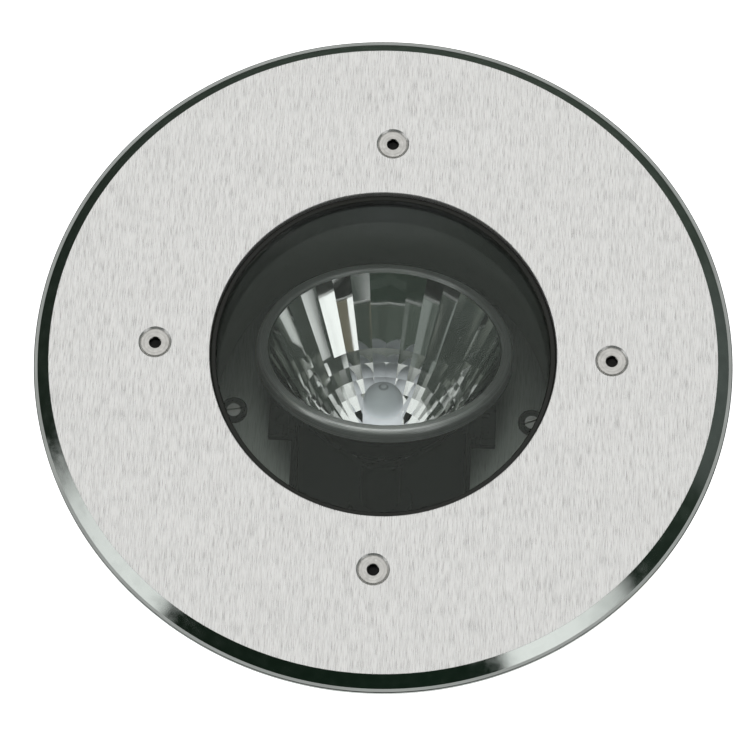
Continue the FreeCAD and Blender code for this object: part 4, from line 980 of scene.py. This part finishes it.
class WELL_OT_lamp(bpy.types.Operator):
    """Makes the frosted tube and gives the rest of the lamp head its finishes"""
    bl_idname = "well.lamp"
    bl_label = "Lamp and cradle"

    def execute(self, context):
        sizes = context.scene.well_sizes
        colours = context.scene.well_colours
        tip = -sizes.tube_tip
        radius = sizes.tube_r
        inner = radius - sizes.tube_wall
        dome = tip - radius
        low = -sizes.tube_seat
        plug_top = low + 6 * MM
        seal_r = TUBE_SEAL_R * 1.25
        outline = [(0, low), (radius, low)]
        for step in range(TUBE_STEPS - 1):
            angle = math.pi / 2 * step / TUBE_STEPS
            outline.append((radius * math.cos(angle), dome + radius * math.sin(angle)))
        outline += [(seal_r, dome + radius * math.sqrt(1 - (seal_r / radius) ** 2)),
                    (TUBE_SEAL_R, tip + 0.12 * MM), (TUBE_SEAL_R * 0.55, tip + 0.42 * MM),
                    (0, tip + 0.5 * MM), (0, dome + inner)]
        for step in range(TUBE_STEPS - 1, -1, -1):
            angle = math.pi / 2 * (step + 0.5) / TUBE_STEPS
            outline.append((inner * math.cos(angle), dome + inner * math.sin(angle)))
        outline += [(inner, plug_top), (0, plug_top)]
        coat_top = sizes.mouth_to_pivot - sizes.collar_lip_t - FACET_BREAKS[-1] * MM
        glass = frosted("frosted lamp glass", colours.tube, colours.black, coat_top)
        dress(as_object(turned(outline, 96), "frosted_tube", head_place()), "lamp_head",
              [glass], ["lamp_tube"])
        paint(bpy.data.materials["blackened steel"], "cradle", "pivot_bolts", "pivot_nuts",
              "friction_washers", "lamp_pins", "lamp_wires", "lampholder_screws", "lampholder_nuts",
              "lampholder", "lamp_base")
        paint(coated("glazed ceramic", colours.ceramic, 0.32, 400.0, 0.00002), "arc_tube")
        paint(plated("bush brass", colours.brass, 0.28), "holder_contacts", "screw_inserts")
        return {"FINISHED"}


# ---- housing, glands and control gear ----
class WELL_OT_housing(bpy.types.Operator):
    """Gives the casting and the flange screws their finishes"""
    bl_idname = "well.housing"
    bl_label = "Housing"

    def execute(self, context):
        colours = context.scene.well_colours
        paint(coated("textured powder coat", colours.coat, 0.5, 1400.0, 0.00009), "housing",
              "housing_ring", "housing_fins")
        paint(plated("flange screw steel", colours.screw), "flange_screws")
        return {"FINISHED"}


class WELL_OT_glands(bpy.types.Operator):
    """Gives the cable glands their finishes"""
    bl_idname = "well.glands"
    bl_label = "Cable glands"

    def execute(self, context):
        paint(plated("nickel plate", context.scene.well_colours.nickel, 0.22), "gland_bodies",
              "gland_dome_nuts", "gland_lock_nuts")
        paint(bpy.data.materials["black silicone"], "gland_seals", "gland_washers")
        return {"FINISHED"}


class WELL_OT_gear(bpy.types.Operator):
    """Gives the control gear its finishes"""
    bl_idname = "well.gear"
    bl_label = "Control gear"

    def execute(self, context):
        colours = context.scene.well_colours
        paint(coated("moulded gear case", colours.case, 0.45, 800.0, 0.00003, contrast=0.05), "ballast",
              "terminal_block")
        paint(plated("zinc plate", colours.zinc), "gear_tray", "gear_tray_screws", "ballast_screws",
              "terminal_screws", "earth_screw", "earth_washer")
        return {"FINISHED"}


# ---- stage ----
def studio_world(stage):
    """Dark green-grey room with a ceiling panel, pale panels and overhead things, and a backdrop."""
    world = bpy.data.worlds.new("studio")
    bpy.context.scene.world = world
    world.use_nodes = True
    tree = world.node_tree
    direction = put(tree, "ShaderNodeTexCoord").outputs["Generated"]
    toward = axes_of(tree, direction)
    azimuth = calc(tree, "ARCTAN2", toward["Y"], toward["X"])
    elevation = calc(tree, "ARCSINE", toward["Z"])
    light = two_tone(tree, fitted(tree, toward["Y"], -0.7, 0.5), ROOM_NEAR, ROOM_FAR, 0.2, 0.9)
    light = mixed(tree, fitted(tree, toward["X"], -0.85, 0.0, 0.18, 1.0), ROOM_LEFT, light)
    raised = fitted(tree, toward["Z"], 0.60, 0.75)
    light = mixed(tree, raised, light, ROOM_HIGH)
    things = noise(tree, direction, 6.5, 1.0)
    for level, thing in ROOM_THINGS:
        shown = calc(tree, "MULTIPLY", fitted(tree, things, level, level + 0.02), raised)
        light = mixed(tree, shown, light, thing)
    level_with = put(tree, "ShaderNodeVectorMath", {0: direction, 1: OVERHEAD}, operation="DOT_PRODUCT")
    off_axis = calc(tree, "ARCCOSINE", level_with.outputs["Value"])
    ceiling = ramp_down(tree, off_axis, math.radians(OVERHEAD_RADIUS), math.radians(7))
    light = mixed(tree, ceiling, light, (stage.overhead, stage.overhead, stage.overhead * 0.995, 1.0))
    for turn_at, up_at, half_width, half_height, share, tint in PANELS:
        beside = away_from(tree, azimuth, math.radians(turn_at))
        beside = calc(tree, "MINIMUM", beside, away_from(tree, beside, 2 * math.pi))
        above = away_from(tree, elevation, math.radians(up_at))
        wide = ramp_down(tree, beside, math.radians(half_width), math.radians(2.5))
        high = ramp_down(tree, above, math.radians(half_height), math.radians(2))
        pale = tuple(share * stage.panels * part for part in tint) + (1.0,)
        light = mixed(tree, calc(tree, "MULTIPLY", wide, high), light, pale)
    seen = put(tree, "ShaderNodeLightPath").outputs["Is Camera Ray"]
    plain = mixed(tree, seen, light, (stage.backdrop, stage.backdrop, stage.backdrop, 1.0))
    tree.links.new(plain, tree.nodes["Background"].inputs["Color"])


def aimed_camera(stage):
    """Camera at the photograph's distance, height and aim."""
    back = Vector((math.sin(stage.azimuth) * math.cos(stage.elevation),
                   -math.cos(stage.azimuth) * math.cos(stage.elevation), math.sin(stage.elevation)))
    forward = -back
    right = forward.cross(Vector((0, 0, 1))).normalized()
    up = right.cross(forward)
    aim = forward - right * math.tan(stage.aim_right) - up * math.tan(stage.aim_up)
    lens = bpy.data.cameras.new("camera")
    lens.lens = stage.lens
    lens.sensor_width = 36.0
    lens.clip_start = 0.05
    lens.clip_end = 50.0
    camera = linked("camera", lens)
    camera.location = Vector((0, 0, TOP)) + back * stage.distance
    camera.rotation_mode = "QUATERNION"
    facing = aim.to_track_quat("-Z", "Y").to_matrix().to_4x4()
    camera.rotation_quaternion = (facing @ Matrix.Rotation(stage.roll, 4, "Z")).to_quaternion()
    bpy.context.scene.camera = camera


def soft_lamp(stage):
    """Broad soft lamp behind the camera that polished metal doesn't mirror."""
    light = bpy.data.lights.new("soft lamp", "SUN")
    light.energy = stage.lamp
    light.angle = math.radians(25)
    lamp = linked("soft lamp", light)
    lamp.rotation_mode = "QUATERNION"
    shines = Vector((0, math.cos(LAMP_ELEVATION), -math.sin(LAMP_ELEVATION)))
    lamp.rotation_quaternion = shines.to_track_quat("-Z", "Y")
    lamp.visible_glossy = False
    lamp.visible_transmission = False


class WELL_OT_stage(bpy.types.Operator):
    """Makes the camera, the pale floor and the soft light"""
    bl_idname = "well.stage"
    bl_label = "Stage"

    def execute(self, context):
        stage = context.scene.well_stage
        aimed_camera(stage)
        half = stage.floor_size / 2
        mesh = bpy.data.meshes.new("floor")
        mesh.from_pydata([(-half, -half, 0), (half, -half, 0), (half, half, 0), (-half, half, 0)], [],
                         [(0, 1, 2, 3)])
        floor = linked("floor", mesh)
        material, tree, shader = new_material("pale floor", roughness=0.9,
                                              emission_strength=stage.floor_glow)
        paper = noise(tree, object_point(tree), 3.0)
        tone = two_tone(tree, paper, rgba(stage.floor, 0.99), rgba(stage.floor, 1.0))
        tree.links.new(tone, shader.inputs["Base Color"])
        tree.links.new(tone, shader.inputs["Emission Color"])
        far = calc(tree, "GREATER_THAN", size_of(tree, object_point(tree)), stage.paper_r)
        mirrored = put(tree, "ShaderNodeLightPath").outputs["Is Glossy Ray"]
        mix_surfaces(tree, calc(tree, "MULTIPLY", far, mirrored), shader,
                     put(tree, "ShaderNodeBsdfTransparent"))
        floor.data.materials.append(material)
        studio_world(stage)
        soft_lamp(stage)
        context.scene.view_settings.view_transform = "Standard"
        return {"FINISHED"}


PIECES = (WELL_OT_cover, WELL_OT_flange, WELL_OT_cover_screws, WELL_OT_pane, WELL_OT_well,
          WELL_OT_collar, WELL_OT_reflector, WELL_OT_lamp, WELL_OT_housing, WELL_OT_glands,
          WELL_OT_gear, WELL_OT_stage)


class WELL_PT_panel(bpy.types.Panel):
    """Lists the operators of the well light"""
    bl_idname = "WELL_PT_panel"
    bl_label = "Well light"
    bl_space_type = "VIEW_3D"
    bl_region_type = "UI"
    bl_category = "Well light"

    def draw(self, context):
        for piece in PIECES:
            self.layout.operator(piece.bl_idname)


GROUPS = (WELL_PG_sizes, WELL_PG_colours, WELL_PG_stage)


def register():
    """Registers the settings, operators and panel."""
    for group in GROUPS + PIECES + (WELL_PT_panel,):
        bpy.utils.register_class(group)
    bpy.types.Scene.well_sizes = PointerProperty(type=WELL_PG_sizes)
    bpy.types.Scene.well_colours = PointerProperty(type=WELL_PG_colours)
    bpy.types.Scene.well_stage = PointerProperty(type=WELL_PG_stage)


def unregister():
    """Removes what register added."""
    del bpy.types.Scene.well_sizes
    del bpy.types.Scene.well_colours
    del bpy.types.Scene.well_stage
    for group in reversed(GROUPS + PIECES + (WELL_PT_panel,)):
        bpy.utils.unregister_class(group)


def main():
    """Builds every piece in order."""
    register()
    for piece in PIECES:
        name = piece.bl_idname.split(".")[1]
        getattr(bpy.ops.well, name)()


if __name__ == "__main__":
    main()
